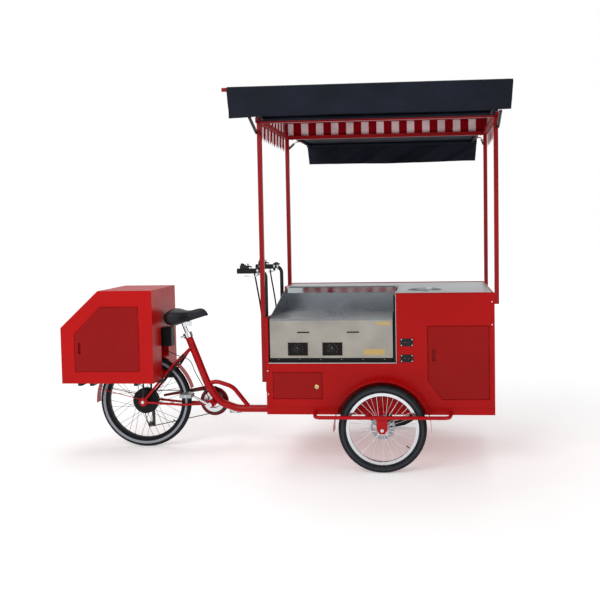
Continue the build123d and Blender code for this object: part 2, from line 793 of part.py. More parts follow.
def side_panel_right():
    wall = block(cart_rear, cart_front, -half_width, -half_width + panel, rail_top, cart_top)
    wall -= block(cart_rear + panel, griddle_front, -half_width - 1, 0, griddle_bottom, cart_top + 1)
    wall -= block(cart_rear - 1, cart_rear + panel, -half_width - 1, 0, rear_wall_top, cart_top + 1)
    wall -= plate_xz(big_door_outline(0), -half_width - 1, 0)
    wall -= plate_xz(small_door_outline(0), -half_width - 1, 0)
    for z in socket_heights:
        half = socket_size / 2 - 6
        wall -= block(socket_x - half, socket_x + half, -half_width - 1, 0, z - half / 2, z + half / 2)
    barrels = hinge_barrels(big_door_front - gap / 2, big_door_front + 1, half_width, (500, 730))
    barrels += hinge_barrels(small_door_rear + gap / 2, small_door_rear - 1, half_width, (435, 520))
    return wall + mirror(barrels, Plane.XZ)


def big_door():
    door = plate_xz(big_door_outline(gap), -half_width, -half_width + panel)
    x = big_door_rear + big_door_slot_in
    return door - block(x - handle_slot_width / 2, x + handle_slot_width / 2, -half_width - 1, 0, big_door_slot_z,
                        big_door_slot_z + handle_slot_height)


def small_door():
    door = plate_xz(small_door_outline(gap), -half_width, -half_width + panel)
    return door + disc_y(small_door_front - lock_in, -half_width - 1.5, lock_z, lock_radius, 3.5)


save(side_panel_right(), "side_panel_right")
save(block(cart_rear, cart_front, half_width - panel, half_width, rail_top, cart_top), "side_panel_left")
save(block(cart_front - panel, cart_front, -half_width + panel, half_width - panel, rail_top, cart_top),
     "front_panel")
rear_wall = block(cart_rear, cart_rear + panel, -half_width + panel, half_width - panel, rail_top, cart_top)
rear_wall -= block(cart_rear - 1, cart_rear + panel + 1, -half_width, griddle_back, rear_wall_top, cart_top + 1)
save(rear_wall, "rear_panel")
bottom = block(cart_rear + panel, cart_front - panel, -half_width + panel, half_width - panel,
               rail_top, rail_top + floor_thickness)
bulkhead = block(griddle_front, griddle_front + panel, -half_width + panel, half_width - panel,
                 rail_top + floor_thickness, cart_top - worktop_thickness)
save(bottom + bulkhead, "cabinet_inner")
save(block(cart_rear + panel, griddle_front, -half_width + panel, griddle_back, griddle_bottom - floor_thickness,
           griddle_bottom), "griddle_shelf")
save(big_door(), "storage_door")
save(small_door(), "small_door")


def worktop():
    low = cart_top - worktop_thickness
    top = block(griddle_front, cart_front - panel, -half_width + panel, half_width - panel, low, cart_top)
    top += block(cart_rear + panel, griddle_front + 1, griddle_back, half_width - panel, low, cart_top)
    top -= rod((sink_x, sink_y, low - 1), (sink_x, sink_y, cart_top + 1), sink_radius)
    rim_seat = rod((sink_x, sink_y, cart_top - sink_rim_thickness), (sink_x, sink_y, cart_top + 1),
                   sink_radius + sink_rim)
    return top - rim_seat


def sink():
    base = (sink_x, sink_y, cart_top - sink_depth)
    bowl = rod(base, (sink_x, sink_y, cart_top), sink_radius - 0.3)
    bowl += rod((sink_x, sink_y, cart_top - sink_rim_thickness), (sink_x, sink_y, cart_top),
                sink_radius + sink_rim - 0.3)
    return bowl - rod((sink_x, sink_y, cart_top - sink_depth + sink_wall), (sink_x, sink_y, cart_top + 5),
                      sink_radius - sink_wall)


save(worktop(), "worktop")
save(sink(), "sink")


def socket_plates():
    plates = Part()
    for z in socket_heights:
        half = socket_size / 2
        plates += block(socket_x - half, socket_x + half, -half_width - 3, -half_width, z - 22, z + 22)
        inner = half - 7
        plates += block(socket_x - inner, socket_x + inner, -half_width, -half_width + socket_depth,
                        z - inner / 2, z + inner / 2)
    return plates


save(socket_plates(), "socket_plates")


# ---- Griddle ------------------------------------------------------------------------------------
griddle_left = cart_rear + panel + griddle_end_gap
griddle_right = griddle_front - 20
griddle_face = -half_width + 14
plate_low = plate_top - plate_thickness
splash_top = cart_top - splash_drop


def griddle_body():
    body = block(griddle_left, griddle_right, griddle_face, griddle_back - 20, plate_low - burner_height, plate_low)
    for x in (griddle_left + 60, griddle_right - 60):
        for y in (griddle_face + 50, griddle_back - 80):
            body += rod((x, y, griddle_bottom), (x, y, plate_low - burner_height), 16)
    return body


def griddle_plate():
    plate = block(griddle_left, griddle_right, griddle_face - 3, griddle_back - 18, plate_low, plate_top)
    back = block(griddle_left, griddle_right, griddle_back - 20, griddle_back - 18, plate_top, splash_top)
    sides = Part()
    outline = [(griddle_face + 30, plate_top), (griddle_back - 18, plate_top), (griddle_back - 18, splash_top),
               (griddle_back - 110, splash_top), (griddle_face + 30, plate_top + 12)]
    face = Plane.YZ * make_face(Polyline(*outline, close=True))
    for x in (griddle_left, griddle_right - splash_thickness):
        sides += Pos(x, 0, 0) * extrude(face, splash_thickness)
    return plate + back + sides


save(griddle_body(), "griddle_body")
save(griddle_plate(), "griddle_plate")


# ---- Handlebar ----------------------------------------------------------------------------------
def handlebar():
    bars = Part()
    for side in (-1, 1):
        y = side * bar_half_width
        bars += bent_rod([(grip_end + 6, y, bar_height), (bar_x, y, bar_height), (bar_x, y, bar_foot)],
                         (bar_bend,), bar_radius)
        for z in (bar_foot + 40, rear_wall_top - 60):
            bars += block(bar_x, cart_rear, y - 15, y + 15, z - 12, z + 12)
    return bars


def grips():
    rubber = Part()
    for side in (-1, 1):
        y = side * bar_half_width
        grip = rod((grip_end, y, bar_height), (grip_end + grip_length, y, bar_height), grip_radius)
        rubber += grip - rod((grip_end + 6, y, bar_height), (grip_end + grip_length + 1, y, bar_height), bar_radius)
    return rubber


def control_cable(side):
    # from the brake lever down beside the leg, then to the cabinet's rear wall
    y = side * (bar_half_width - cable_beside)
    inner = y - side * 8
    points = [(bar_x - 74, y, bar_height - 18), (bar_x - 68, inner, 1108), (bar_x - 60, inner, 1058),
              (bar_x - 51, inner, 1004), (bar_x - 43, inner, 950), (bar_x - 37, inner, 900), (bar_x - 32, inner, 852),
              (bar_x - 23, inner, 812), (bar_x - 7, inner, 782), (bar_x + 14, inner, 766),
              (cart_rear + 4, inner, 761)]
    return cord(points, loom_radius) - block(cart_rear, cart_rear + 10, inner - 8, inner + 8, 740, 780)


save(handlebar(), "handlebar")
save(grips(), "grips")
save(control_cable(-1) + control_cable(1), "control_cables")


# ---- Canopy -------------------------------------------------------------------------------------
bar_top = canopy_height + post_section / 2
bar_low = canopy_height - post_section / 2
roof_low = canopy_height + canopy_band
roof_half_x = canopy_half + post_section / 2
roof_half_y = half_width


def square_tube(x, y, low, high):
    half = post_section / 2
    hole = half - post_wall
    post = block(x - half, x + half, y - half, y + half, low, high)
    return post - block(x - hole, x + hole, y - hole, y + hole, low - 1, high + 1)


def strut_lug(x_side, strut_x, lug, y_side):
    z = hinge_z - strut_foot_drop
    y = post_y + post_section / 2 + 20
    plate = strut_x + lug
    lug_part = block(plate - 3, plate + 3, post_y + post_section / 2 - 1, y + 10, z - 14, z + 14)
    pin_end = strut_x + (strut_eye_width / 2 + 1 if lug < 0 else -strut_eye_width / 2 - 1)
    lug_part += rod((plate, y, z), (pin_end, y, z), strut_pin_radius)
    lug_part -= block(0, 2000, 0, post_y + post_section / 2, z - 20, z + 20)
    if y_side < 0:
        lug_part = mirror(lug_part, Plane.XZ)
    if x_side < 0:
        lug_part = mirror(lug_part, Plane.YZ)
    return Pos(canopy_x, 0, 0) * lug_part


def canopy_posts():
    posts = Part()
    for x, low in ((post_rear_x, post_rear_foot), (post_front_x, post_front_foot)):
        for y in (-post_y, post_y):
            posts += square_tube(x, y, low, bar_low)
    for x_side in (-1, 1):
        posts += strut_lug(x_side, near_strut_x, -15, -1)
        posts += strut_lug(x_side, far_strut_x, 15, 1)
    return posts


def hinge_lugs(half, y_side):
    lugs = Part()
    for x_side in (-1, 1):
        inner = x_side * (half + 1)
        outer = x_side * (half + 6)
        x0 = canopy_x + min(inner, outer)
        x1 = canopy_x + max(inner, outer)
        ear = block(x0, x1, post_y, hinge_y + 10, bar_low, bar_top + 4)
        ear += rod((x0 if x_side > 0 else x1, hinge_y, hinge_z),
                   (canopy_x + x_side * (half - 30), hinge_y, hinge_z), strut_pin_radius)
        lugs += mirror(ear, Plane.XZ) if y_side < 0 else ear
    return lugs


def canopy_frame():
    half_x = canopy_half + post_section / 2
    half_y = half_width
    ring = block(canopy_x - half_x, canopy_x + half_x, -half_y, half_y, bar_low, bar_top)
    ring -= block(canopy_x - half_x + post_section, canopy_x + half_x - post_section,
                  -half_y + post_section, half_y - post_section, bar_low - 1, bar_top + 1)
    top = block(canopy_x - half_x, canopy_x + half_x, -half_y, half_y, roof_low - 20, roof_low)
    top -= block(canopy_x - half_x + 20, canopy_x + half_x - 20, -half_y + 20, half_y - 20,
                 roof_low - 21, roof_low + 1)
    frame = ring + top
    for x in (-1, 1):
        for y in (-1, 1):
            cx = canopy_x + x * (half_x - 10)
            cy = y * (half_y - 10)
            frame += block(cx - 10, cx + 10, cy - 10, cy + 10, bar_top - 1, roof_low - 19)
    frame += hinge_lugs(near_flap_half, -1) + hinge_lugs(far_flap_half, 1)
    return frame


def roof_shape(grow, low, crown):
    x = 2 * (roof_half_x + grow)
    y = 2 * (roof_half_y + grow)
    base = Plane((canopy_x, 0, low)) * Rectangle(x, y)
    ridge = Plane((canopy_x, 0, low + crown)) * Rectangle(x - 520, y - 620)
    return loft([base, ridge])


def canopy_cloth():
    inner = 1.0
    outer = inner + cloth
    x = roof_half_x
    y = roof_half_y
    band = block(canopy_x - x - outer, canopy_x + x + outer, -y - outer, y + outer, bar_top + 6, roof_low + inner)
    band -= block(canopy_x - x - inner, canopy_x + x + inner, -y - inner, y + inner, bar_top, roof_low + inner + 1)
    roof = roof_shape(outer, roof_low + inner, canopy_crown) - roof_shape(outer - cloth * 3, roof_low + inner - 0.01,
                                                                       canopy_crown - cloth)
    return band + roof


def end_valence(x_side):
    x = canopy_x + x_side * (roof_half_x + 3)
    low = bar_low - valence_drop
    return block(x - 1.5, x + 1.5, -post_y + 30, post_y - 30, low, bar_low + 8)


save(canopy_posts(), "canopy_posts")
save(canopy_frame(), "canopy_frame")
save(canopy_cloth() + end_valence(-1) + end_valence(1), "canopy_cloth")


# ---- Flaps --------------------------------------------------------------------------------------
# A flap is drawn level along +Y from its hinge line at the origin, then tipped up and put in place.
def place_flap(shape, y_side, rise):
    shape = Rot(rise, 0, 0) * shape
    shape = Pos(canopy_x, hinge_y, hinge_z) * shape
    return mirror(shape, Plane.XZ) if y_side < 0 else shape


def flap_frame(half, flare, reach, strut_x, tube_in, bar_shift):
    frame = rod((-half, 0, 0), (half, 0, 0), flap_tube)
    frame += rod((bar_shift - half - flare, reach, 0), (bar_shift + half + flare, reach, 0), flap_tube)
    for side in (-1, 1):
        frame += rod((side * (half - tube_in), 0, 0), (side * (half + flare - tube_in), reach, 0), flap_tube - 1.5)
        frame -= rod((side * (half - 35), 0, 0), (side * (half + 1), 0, 0), strut_pin_radius + running)
        pin_x = side * (half - tube_in + flare * strut_reach / reach)
        frame += rod((pin_x, strut_reach, 0), (side * (strut_x - strut_eye_width / 2 - 1), strut_reach, 0),
                     strut_pin_radius)
    return frame


def flap_cloth(half, flare, reach):
    low = flap_tube + flap_cloth_gap
    outline = Polyline((-half, -2), (half, -2), (half + flare, reach + flap_tube), (-half - flare, reach + flap_tube),
                       close=True)
    return Pos(0, 0, low) * extrude(make_face(outline), cloth)


def flap_valence_sheet(half, flare, reach, y_side, rise):
    tip = math.radians(rise)
    y = hinge_y + reach * math.cos(tip) + flap_tube + 11
    z = hinge_z + reach * math.sin(tip) + 5
    width = half + flare
    outline = [(-width, z), (width, z), (width - 15, z - flap_valence), (15 - width, z - flap_valence)]
    sheet = plate_xz([(canopy_x + x, h) for x, h in outline], y, y + cloth)
    return mirror(sheet, Plane.XZ) if y_side < 0 else sheet


def strut_line(rise):
    tip = math.radians(rise)
    foot_y = post_y + post_section / 2 + 20 - hinge_y
    foot_z = -strut_foot_drop
    head_y = strut_reach * math.cos(tip)
    head_z = strut_reach * math.sin(tip)
    length = math.hypot(head_y - foot_y, head_z - foot_z)
    lean = math.atan2(head_z - foot_z, head_y - foot_y)
    return foot_y, foot_z, length, lean


def eye(distance):
    ring = rod((-strut_eye_width / 2, distance, 0), (strut_eye_width / 2, distance, 0), strut_eye_radius)
    return ring - rod((-strut_eye_width, distance, 0), (strut_eye_width, distance, 0), strut_pin_radius + running)


def strut_cylinder():
    body = rod((0, strut_eye_radius - 2, 0), (0, strut_cylinder_length, 0), strut_cylinder_radius)
    body -= rod((0, 20, 0), (0, strut_cylinder_length - 12, 0), strut_bore)
    body -= rod((0, strut_cylinder_length - 20, 0), (0, strut_cylinder_length + 1, 0), strut_rod_radius + running)
    body -= rod((-30, 0, 0), (30, 0, 0), strut_eye_radius - 1)
    return body + eye(0)


def strut_rod(length):
    low = length - strut_rod_length
    body = rod((0, low, 0), (0, length - strut_eye_radius + 1, 0), strut_rod_radius)
    body += rod((0, low, 0), (0, low + 8, 0), strut_bore - running)
    return body + eye(length)


def place_struts(shape, strut_x, y_side, rise):
    foot_y, foot_z, length, lean = strut_line(rise)
    struts = Part()
    for x_side in (-1, 1):
        one = Rot(math.degrees(lean), 0, 0) * shape
        one = Pos(canopy_x + x_side * strut_x, hinge_y + foot_y, hinge_z + foot_z) * one
        struts += mirror(one, Plane.XZ) if y_side < 0 else one
    return struts


flaps = (
    ("right", -1, near_flap_half, near_flap_flare, near_flap_rise, near_strut_x, near_side_tube_in, near_bar_shift),
    ("left", 1, far_flap_half, far_flap_flare, far_flap_rise, far_strut_x, far_side_tube_in, far_bar_shift),
)
for name, y_side, half, flare, rise, strut_x, tube_in, bar_shift in flaps:
    reach = flap_reach / math.cos(math.radians(rise))
    length = strut_line(rise)[2]
    frame = flap_frame(half, flare, reach, strut_x, tube_in, bar_shift)
    save(place_flap(frame, y_side, rise), f"flap_frame_{name}")
    save(place_flap(flap_cloth(half, flare, reach), y_side, rise), f"flap_cloth_{name}")
    save(flap_valence_sheet(half, flare, reach, y_side, rise), f"flap_valence_{name}")
    save(place_struts(strut_cylinder(), strut_x, y_side, rise), f"strut_cylinders_{name}")
    save(place_struts(strut_rod(length), strut_x, y_side, rise), f"strut_rods_{name}")
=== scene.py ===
# Vending tricycle: paint, steel, rubber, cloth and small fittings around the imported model.
import json
import math
import random

import bmesh
import bpy
from mathutils import Matrix, Vector


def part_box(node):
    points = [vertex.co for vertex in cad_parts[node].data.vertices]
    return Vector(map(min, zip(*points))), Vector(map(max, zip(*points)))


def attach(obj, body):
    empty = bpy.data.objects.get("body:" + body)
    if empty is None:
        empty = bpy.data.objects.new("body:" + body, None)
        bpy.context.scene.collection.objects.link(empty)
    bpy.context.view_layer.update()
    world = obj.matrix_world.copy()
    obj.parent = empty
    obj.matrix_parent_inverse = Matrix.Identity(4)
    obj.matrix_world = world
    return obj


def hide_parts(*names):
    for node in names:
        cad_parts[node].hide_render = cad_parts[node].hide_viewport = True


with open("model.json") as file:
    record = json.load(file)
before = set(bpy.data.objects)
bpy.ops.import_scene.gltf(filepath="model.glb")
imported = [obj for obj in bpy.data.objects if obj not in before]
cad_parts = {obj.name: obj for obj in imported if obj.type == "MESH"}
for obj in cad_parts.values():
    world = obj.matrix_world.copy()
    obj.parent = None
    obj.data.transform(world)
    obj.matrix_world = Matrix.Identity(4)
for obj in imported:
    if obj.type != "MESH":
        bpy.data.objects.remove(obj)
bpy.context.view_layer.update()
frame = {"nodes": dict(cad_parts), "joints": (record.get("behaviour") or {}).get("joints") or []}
nodes = frame["nodes"]
random.seed(7)
print("frame loaded")


def toLinear(hexText):
    values = [int(hexText[i:i + 2], 16) / 255 for i in (1, 3, 5)]
    linear = [v / 12.92 if v <= 0.04045 else ((v + 0.055) / 1.055) ** 2.4 for v in values]
    return (*linear, 1.0)


def perMetre(millimetres):
    return 1000.0 / millimetres


def addNode(tree, kind, settings=None, links=None):
    # one node with its settings, socket values and incoming links
    node = tree.nodes.new(kind)
    for key, value in (settings or {}).items():
        if key in node.inputs:
            node.inputs[key].default_value = value
        else:
            setattr(node, key, value)
    for key, socket in (links or {}).items():
        tree.links.new(socket, node.inputs[key])
    return node


def newMaterial(name, roughness, metallic=0.0, **sockets):
    material = bpy.data.materials.new(name)
    material.use_nodes = True
    tree = material.node_tree
    shader = tree.nodes["Principled BSDF"]
    shader.inputs["Roughness"].default_value = roughness
    shader.inputs["Metallic"].default_value = metallic
    for key, value in sockets.items():
        shader.inputs[key.replace("_", " ")].default_value = value
    place = addNode(tree, "ShaderNodeTexCoord")
    return material, tree, shader, place.outputs["Object"]


def addRamp(tree, socket, low, high, colourLow, colourHigh):
    ramp = addNode(tree, "ShaderNodeValToRGB", links={"Fac": socket})
    ramp.color_ramp.elements[0].position = low
    ramp.color_ramp.elements[0].color = colourLow
    ramp.color_ramp.elements[1].position = high
    ramp.color_ramp.elements[1].color = colourHigh
    return ramp.outputs["Color"]


def greyRamp(tree, socket, low, high, darkest, lightest):
    return addRamp(tree, socket, low, high, (darkest,) * 3 + (1,), (lightest,) * 3 + (1,))


# powder coat: sprayed and baked polyester, a soft gloss over faint orange peel, rubbed dull here and there
def powderCoat(name, colour, shade, roughness=0.34, peelMm=4.0, coat=0.03, edgeMm=1.6):
    material, tree, shader, place = newMaterial(name, roughness, Coat_Weight=coat, Coat_Roughness=0.15,
                                                Specular_IOR_Level=0.12)
    cloud = addNode(tree, "ShaderNodeTexNoise", {"Scale": perMetre(420), "Detail": 3.0}, {"Vector": place})
    colourOut = addRamp(tree, cloud.outputs["Fac"], 0.3, 0.72, toLinear(shade), toLinear(colour))
    tree.links.new(colourOut, shader.inputs["Base Color"])
    scuff = addNode(tree, "ShaderNodeTexNoise", {"Scale": perMetre(55), "Detail": 6.0}, {"Vector": place})
    rough = greyRamp(tree, scuff.outputs["Fac"], 0.35, 0.75, roughness - 0.03, roughness + 0.06)
    tree.links.new(rough, shader.inputs["Roughness"])
    peel = addNode(tree, "ShaderNodeTexNoise", {"Scale": perMetre(peelMm), "Detail": 1.0}, {"Vector": place})
    edge = addNode(tree, "ShaderNodeBevel", {"samples": 3, "Radius": edgeMm / 1000})
    bump = addNode(tree, "ShaderNodeBump", {"Strength": 0.05, "Distance": 0.0003},
                   {"Height": peel.outputs["Fac"], "Normal": edge.outputs["Normal"]})
    tree.links.new(bump.outputs["Normal"], shader.inputs["Normal"])
    return material


# stainless sheet, brushed along one direction: fine scratches that stretch its highlights, under faint hand
# smudges
def brushedStainless(name, colour, shade, along, roughness=0.36, grainMm=1.6):
    material, tree, shader, place = newMaterial(name, roughness, 1.0)
    stretch = [1.0, 1.0, 1.0]
    stretch[along] = 0.04
    grain = addNode(tree, "ShaderNodeMapping", {"Scale": stretch}, {"Vector": place})
    lines = addNode(tree, "ShaderNodeTexNoise", {"Scale": perMetre(grainMm), "Detail": 3.0},
                    {"Vector": grain.outputs["Vector"]})
    smear = addNode(tree, "ShaderNodeTexNoise", {"Scale": perMetre(160), "Detail": 5.0}, {"Vector": place})
    colourOut = addRamp(tree, smear.outputs["Fac"], 0.3, 0.72, toLinear(shade), toLinear(colour))
    tree.links.new(colourOut, shader.inputs["Base Color"])
    rough = greyRamp(tree, smear.outputs["Fac"], 0.35, 0.72, roughness - 0.05, roughness + 0.07)
    tree.links.new(rough, shader.inputs["Roughness"])
    edge = addNode(tree, "ShaderNodeBevel", {"samples": 3, "Radius": 0.0008})
    bump = addNode(tree, "ShaderNodeBump", {"Strength": 0.02, "Distance": 0.0002},
                   {"Height": lines.outputs["Fac"], "Normal": edge.outputs["Normal"]})
    tree.links.new(bump.outputs["Normal"], shader.inputs["Normal"])
    return material


# plated or polished metal with a trace of grime in its roughness
def polishedMetal(name, colour, roughness, spotMm=18.0):
    material, tree, shader, place = newMaterial(name, roughness, 1.0)
    shader.inputs["Base Color"].default_value = toLinear(colour)
    spots = addNode(tree, "ShaderNodeTexNoise", {"Scale": perMetre(spotMm), "Detail": 5.0}, {"Vector": place})
    rough = greyRamp(tree, spots.outputs["Fac"], 0.4, 0.75, roughness, roughness + 0.16)
    tree.links.new(rough, shader.inputs["Roughness"])
    return material


# moulded plastic or rubber: dull, dark, with a fine spark-eroded or talc-dusted grain
def mouldedBlack(name, colour, shade, roughness, grainMm=2.5, strength=0.25):
    material, tree, shader, place = newMaterial(name, roughness, Specular_IOR_Level=0.25)
    cloud = addNode(tree, "ShaderNodeTexNoise", {"Scale": perMetre(60), "Detail": 5.0}, {"Vector": place})
    colourOut = addRamp(tree, cloud.outputs["Fac"], 0.3, 0.75, toLinear(shade), toLinear(colour))
    tree.links.new(colourOut, shader.inputs["Base Color"])
    grain = addNode(tree, "ShaderNodeTexNoise", {"Scale": perMetre(grainMm), "Detail": 3.0},
                    {"Vector": place})
    bump = addNode(tree, "ShaderNodeBump", {"Strength": strength, "Distance": 0.0005},
                   {"Height": grain.outputs["Fac"]})
    tree.links.new(bump.outputs["Normal"], shader.inputs["Normal"])
    return material


def weaveHeight(tree, uv, threadMm):
    warp = addNode(tree, "ShaderNodeTexWave", {"bands_direction": "X", "Scale": perMetre(threadMm) / 3.14},
                   {"Vector": uv})
    weft = addNode(tree, "ShaderNodeTexWave", {"bands_direction": "Y", "Scale": perMetre(threadMm) / 3.14},
                   {"Vector": uv})
    height = addNode(tree, "ShaderNodeMath", {"operation": "MULTIPLY"})
    tree.links.new(warp.outputs["Fac"], height.inputs[0])
    tree.links.new(weft.outputs["Fac"], height.inputs[1])
    return height.outputs["Value"]


# PVC-coated polyester canvas: a plain weave under a soft sheen; real threads are 0.8 mm apart, drawn at 3 mm
# to show
def coatedCanvas(name, colour, shade, roughness=0.6, threadMm=3.0):
    material, tree, shader, place = newMaterial(name, roughness, Specular_IOR_Level=0.1)
    uv = addNode(tree, "ShaderNodeUVMap", {"uv_map": "cloth"}).outputs["UV"]
    cloud = addNode(tree, "ShaderNodeTexNoise", {"Scale": perMetre(180), "Detail": 5.0}, {"Vector": place})
    colourOut = addRamp(tree, cloud.outputs["Fac"], 0.3, 0.7, toLinear(shade), toLinear(colour))
    tree.links.new(colourOut, shader.inputs["Base Color"])
    bump = addNode(tree, "ShaderNodeBump", {"Strength": 0.3, "Distance": 0.0006},
                   {"Height": weaveHeight(tree, uv, threadMm)})
    tree.links.new(bump.outputs["Normal"], shader.inputs["Normal"])
    return material


# the striped canopy cloth: dyed red bands and bare white ones, thin enough for some daylight to come through
def stripedCanvas(name, red, white, periodMm, whiteShare, threadMm=3.0):
    material, tree, shader, place = newMaterial(name, 0.75, Specular_IOR_Level=0.1)
    uv = addNode(tree, "ShaderNodeUVMap", {"uv_map": "cloth"}).outputs["UV"]
    across = addNode(tree, "ShaderNodeSeparateXYZ", links={"Vector": uv}).outputs["X"]
    turns = addNode(tree, "ShaderNodeMath", {"operation": "MULTIPLY"}, {0: across})
    turns.inputs[1].default_value = perMetre(periodMm)
    part = addNode(tree, "ShaderNodeMath", {"operation": "FRACT"}, {0: turns.outputs["Value"]})
    stripe = addNode(tree, "ShaderNodeMath", {"operation": "LESS_THAN"}, {0: part.outputs["Value"]})
    stripe.inputs[1].default_value = whiteShare
    stain = addNode(tree, "ShaderNodeTexNoise", {"Scale": perMetre(90), "Detail": 5.0}, {"Vector": place})
    whiteOut = addRamp(tree, stain.outputs["Fac"], 0.3, 0.7, toLinear("#E2D2D4"), toLinear(white))
    redOut = addRamp(tree, stain.outputs["Fac"], 0.3, 0.7, toLinear("#980414"), toLinear(red))
    mix = addNode(tree, "ShaderNodeMix", {"data_type": "RGBA"})
    tree.links.new(stripe.outputs["Value"], mix.inputs["Factor"])
    tree.links.new(redOut, mix.inputs[6])
    tree.links.new(whiteOut, mix.inputs[7])
    tree.links.new(mix.outputs[2], shader.inputs["Base Color"])
    bump = addNode(tree, "ShaderNodeBump", {"Strength": 0.3, "Distance": 0.0006},
                   {"Height": weaveHeight(tree, uv, threadMm)})
    tree.links.new(bump.outputs["Normal"], shader.inputs["Normal"])
    glow = addNode(tree, "ShaderNodeBsdfTranslucent",
                   links={"Color": mix.outputs[2], "Normal": bump.outputs["Normal"]})
    both = addNode(tree, "ShaderNodeMixShader", {"Fac": 0.45})
    tree.links.new(shader.outputs["BSDF"], both.inputs[1])
    tree.links.new(glow.outputs["BSDF"], both.inputs[2])
    tree.links.new(both.outputs["Shader"], tree.nodes["Material Output"].inputs["Surface"])
    return material


# tyre: carbon-black rubber, grey with dust on the shoulders; a reflective band rings the sidewall
def tyreRubber(name, axle, bandInner, bandOuter, bandColour):
    material, tree, shader, place = newMaterial(name, 0.75, Specular_IOR_Level=0.2)
    local = addNode(tree, "ShaderNodeVectorMath", {"operation": "SUBTRACT"}, {0: place})
    local.inputs[1].default_value = axle
    parts = addNode(tree, "ShaderNodeSeparateXYZ", links={"Vector": local.outputs["Vector"]})
    flat = addNode(tree, "ShaderNodeCombineXYZ", links={"X": parts.outputs["X"], "Z": parts.outputs["Z"]})
    length = addNode(tree, "ShaderNodeVectorMath", {"operation": "LENGTH"}, {0: flat.outputs["Vector"]})
    inside = addNode(tree, "ShaderNodeMath", {"operation": "GREATER_THAN"}, {0: length.outputs["Value"]})
    inside.inputs[1].default_value = bandInner
    outside = addNode(tree, "ShaderNodeMath", {"operation": "LESS_THAN"}, {0: length.outputs["Value"]})
    outside.inputs[1].default_value = bandOuter
    band = addNode(tree, "ShaderNodeMath", {"operation": "MULTIPLY"},
                   {0: inside.outputs["Value"], 1: outside.outputs["Value"]})
    dust = addNode(tree, "ShaderNodeTexNoise", {"Scale": perMetre(35), "Detail": 6.0}, {"Vector": place})
    black = addRamp(tree, dust.outputs["Fac"], 0.35, 0.75, toLinear("#0E1013"), toLinear("#23262A"))
    mix = addNode(tree, "ShaderNodeMix", {"data_type": "RGBA"}, {"Factor": band.outputs["Value"]})
    tree.links.new(black, mix.inputs[6])
    mix.inputs[7].default_value = toLinear(bandColour)
    tree.links.new(mix.outputs[2], shader.inputs["Base Color"])
    grain = addNode(tree, "ShaderNodeTexNoise", {"Scale": perMetre(4), "Detail": 3.0}, {"Vector": place})
    bump = addNode(tree, "ShaderNodeBump", {"Strength": 0.3, "Distance": 0.0006},
                   {"Height": grain.outputs["Fac"]})
    tree.links.new(bump.outputs["Normal"], shader.inputs["Normal"])
    return material


paints = {
    "cabinet": powderCoat("powderCoatedPanel", "#A40303", "#9A0202"),
    "door": powderCoat("powderCoatedDoor", "#8E0404", "#850303"),
    "boxShell": powderCoat("powderCoatedBox", "#B20505", "#A80404"),
    "frame": powderCoat("enamelledFrameTube", "#AE0A11", "#9C080E", roughness=0.24, coat=0.1, edgeMm=0.5),
    "mudguard": powderCoat("enamelledMudguard", "#BE0B10", "#B0090E", roughness=0.24, coat=0.15, edgeMm=0.5),
    "post": powderCoat("powderCoatedPost", "#8E1016", "#820D13", roughness=0.36),
    "guard": powderCoat("enamelledChainGuard", "#7A0A10", "#6A080E", roughness=0.24, coat=0.15, edgeMm=0.5),
    "blackTube": powderCoat("blackEnamelTube", "#14161A", "#0D0E11", roughness=0.25, coat=0.2),
    "blackRim": powderCoat("blackAnodisedRim", "#15171B", "#0E1013", roughness=0.35),
    "motor": powderCoat("blackCastMotorCase", "#17181B", "#0D0E10", roughness=0.45, peelMm=2.5),
}
steelPlate = brushedStainless("brushedStainlessTop", "#C3C8CA", "#B6BBBD", 0)
steelFront = brushedStainless("brushedStainlessFront", "#A29E96", "#8D8982", 0, roughness=0.4)
steelSplash = brushedStainless("brushedStainlessGriddle", "#A6A9A9", "#9A9D9E", 0, roughness=0.3)
# darker copy of the griddle steel for the upright splash walls: painted shade, chosen by face direction; their
# upright grain and lower roughness are the wall's own
steelWallPaintedShade = brushedStainless("brushedStainlessSplashWallPaintedShade", "#7E8489", "#747A7F", 2, roughness=0.24)
polishedSteel = brushedStainless("polishedStainlessTrim", "#CBCFD1", "#BDC2C4", 0, roughness=0.12)
chromePlate = polishedMetal("chromePlate", "#C9CDD0", 0.1)
alloy = polishedMetal("polishedAlloyRim", "#D5D8DC", 0.2)
discSteel = polishedMetal("groundDiscSteel", "#9A9DA0", 0.32)
oiledSteel = polishedMetal("oiledChainSteel", "#4A4743", 0.35)
blackPlastic = mouldedBlack("mouldedNylon", "#17181B", "#0D0E10", 0.5)
gripRubber = mouldedBlack("mouldedGripRubber", "#1B1C1F", "#101114", 0.75, grainMm=2.0, strength=0.4)
saddleVinyl = mouldedBlack("saddleVinyl", "#1B1F26", "#101318", 0.38, grainMm=3.0, strength=0.35)
sealRubber = mouldedBlack("sealRubber", "#0C0C0E", "#060607", 0.7)
# one dark material for two things: the real dark enamel of the dial windows, and painted shade standing in for
# the front slots, flue vents and strainer holes
windowEnamelAndHoleShade = powderCoat("darkWindowEnamelAndPaintedHoleShade", "#160A0C", "#0E0607", roughness=0.3)
ratingPlate = polishedMetal("brassPlate", "#B39B68", 0.45)
brass = polishedMetal("plainBrassLock", "#C8B27C", 0.3)
whiteMark = powderCoat("printedWhiteMark", "#D8D8D6", "#CACAC8", roughness=0.5)
darkCloth = coatedCanvas("coatedNavyCanvas", "#151A26", "#0D1018")
stripedCloth = stripedCanvas("stripedCanvas", "#A20418", "#F2E6E7", 105.0, 0.48)
print("materials made")


def paintNode(material, *names):
    for name in names:
        nodes[name].data.materials.clear()
        nodes[name].data.materials.append(material)
        for polygon in nodes[name].data.polygons:
            polygon.material_index = 0


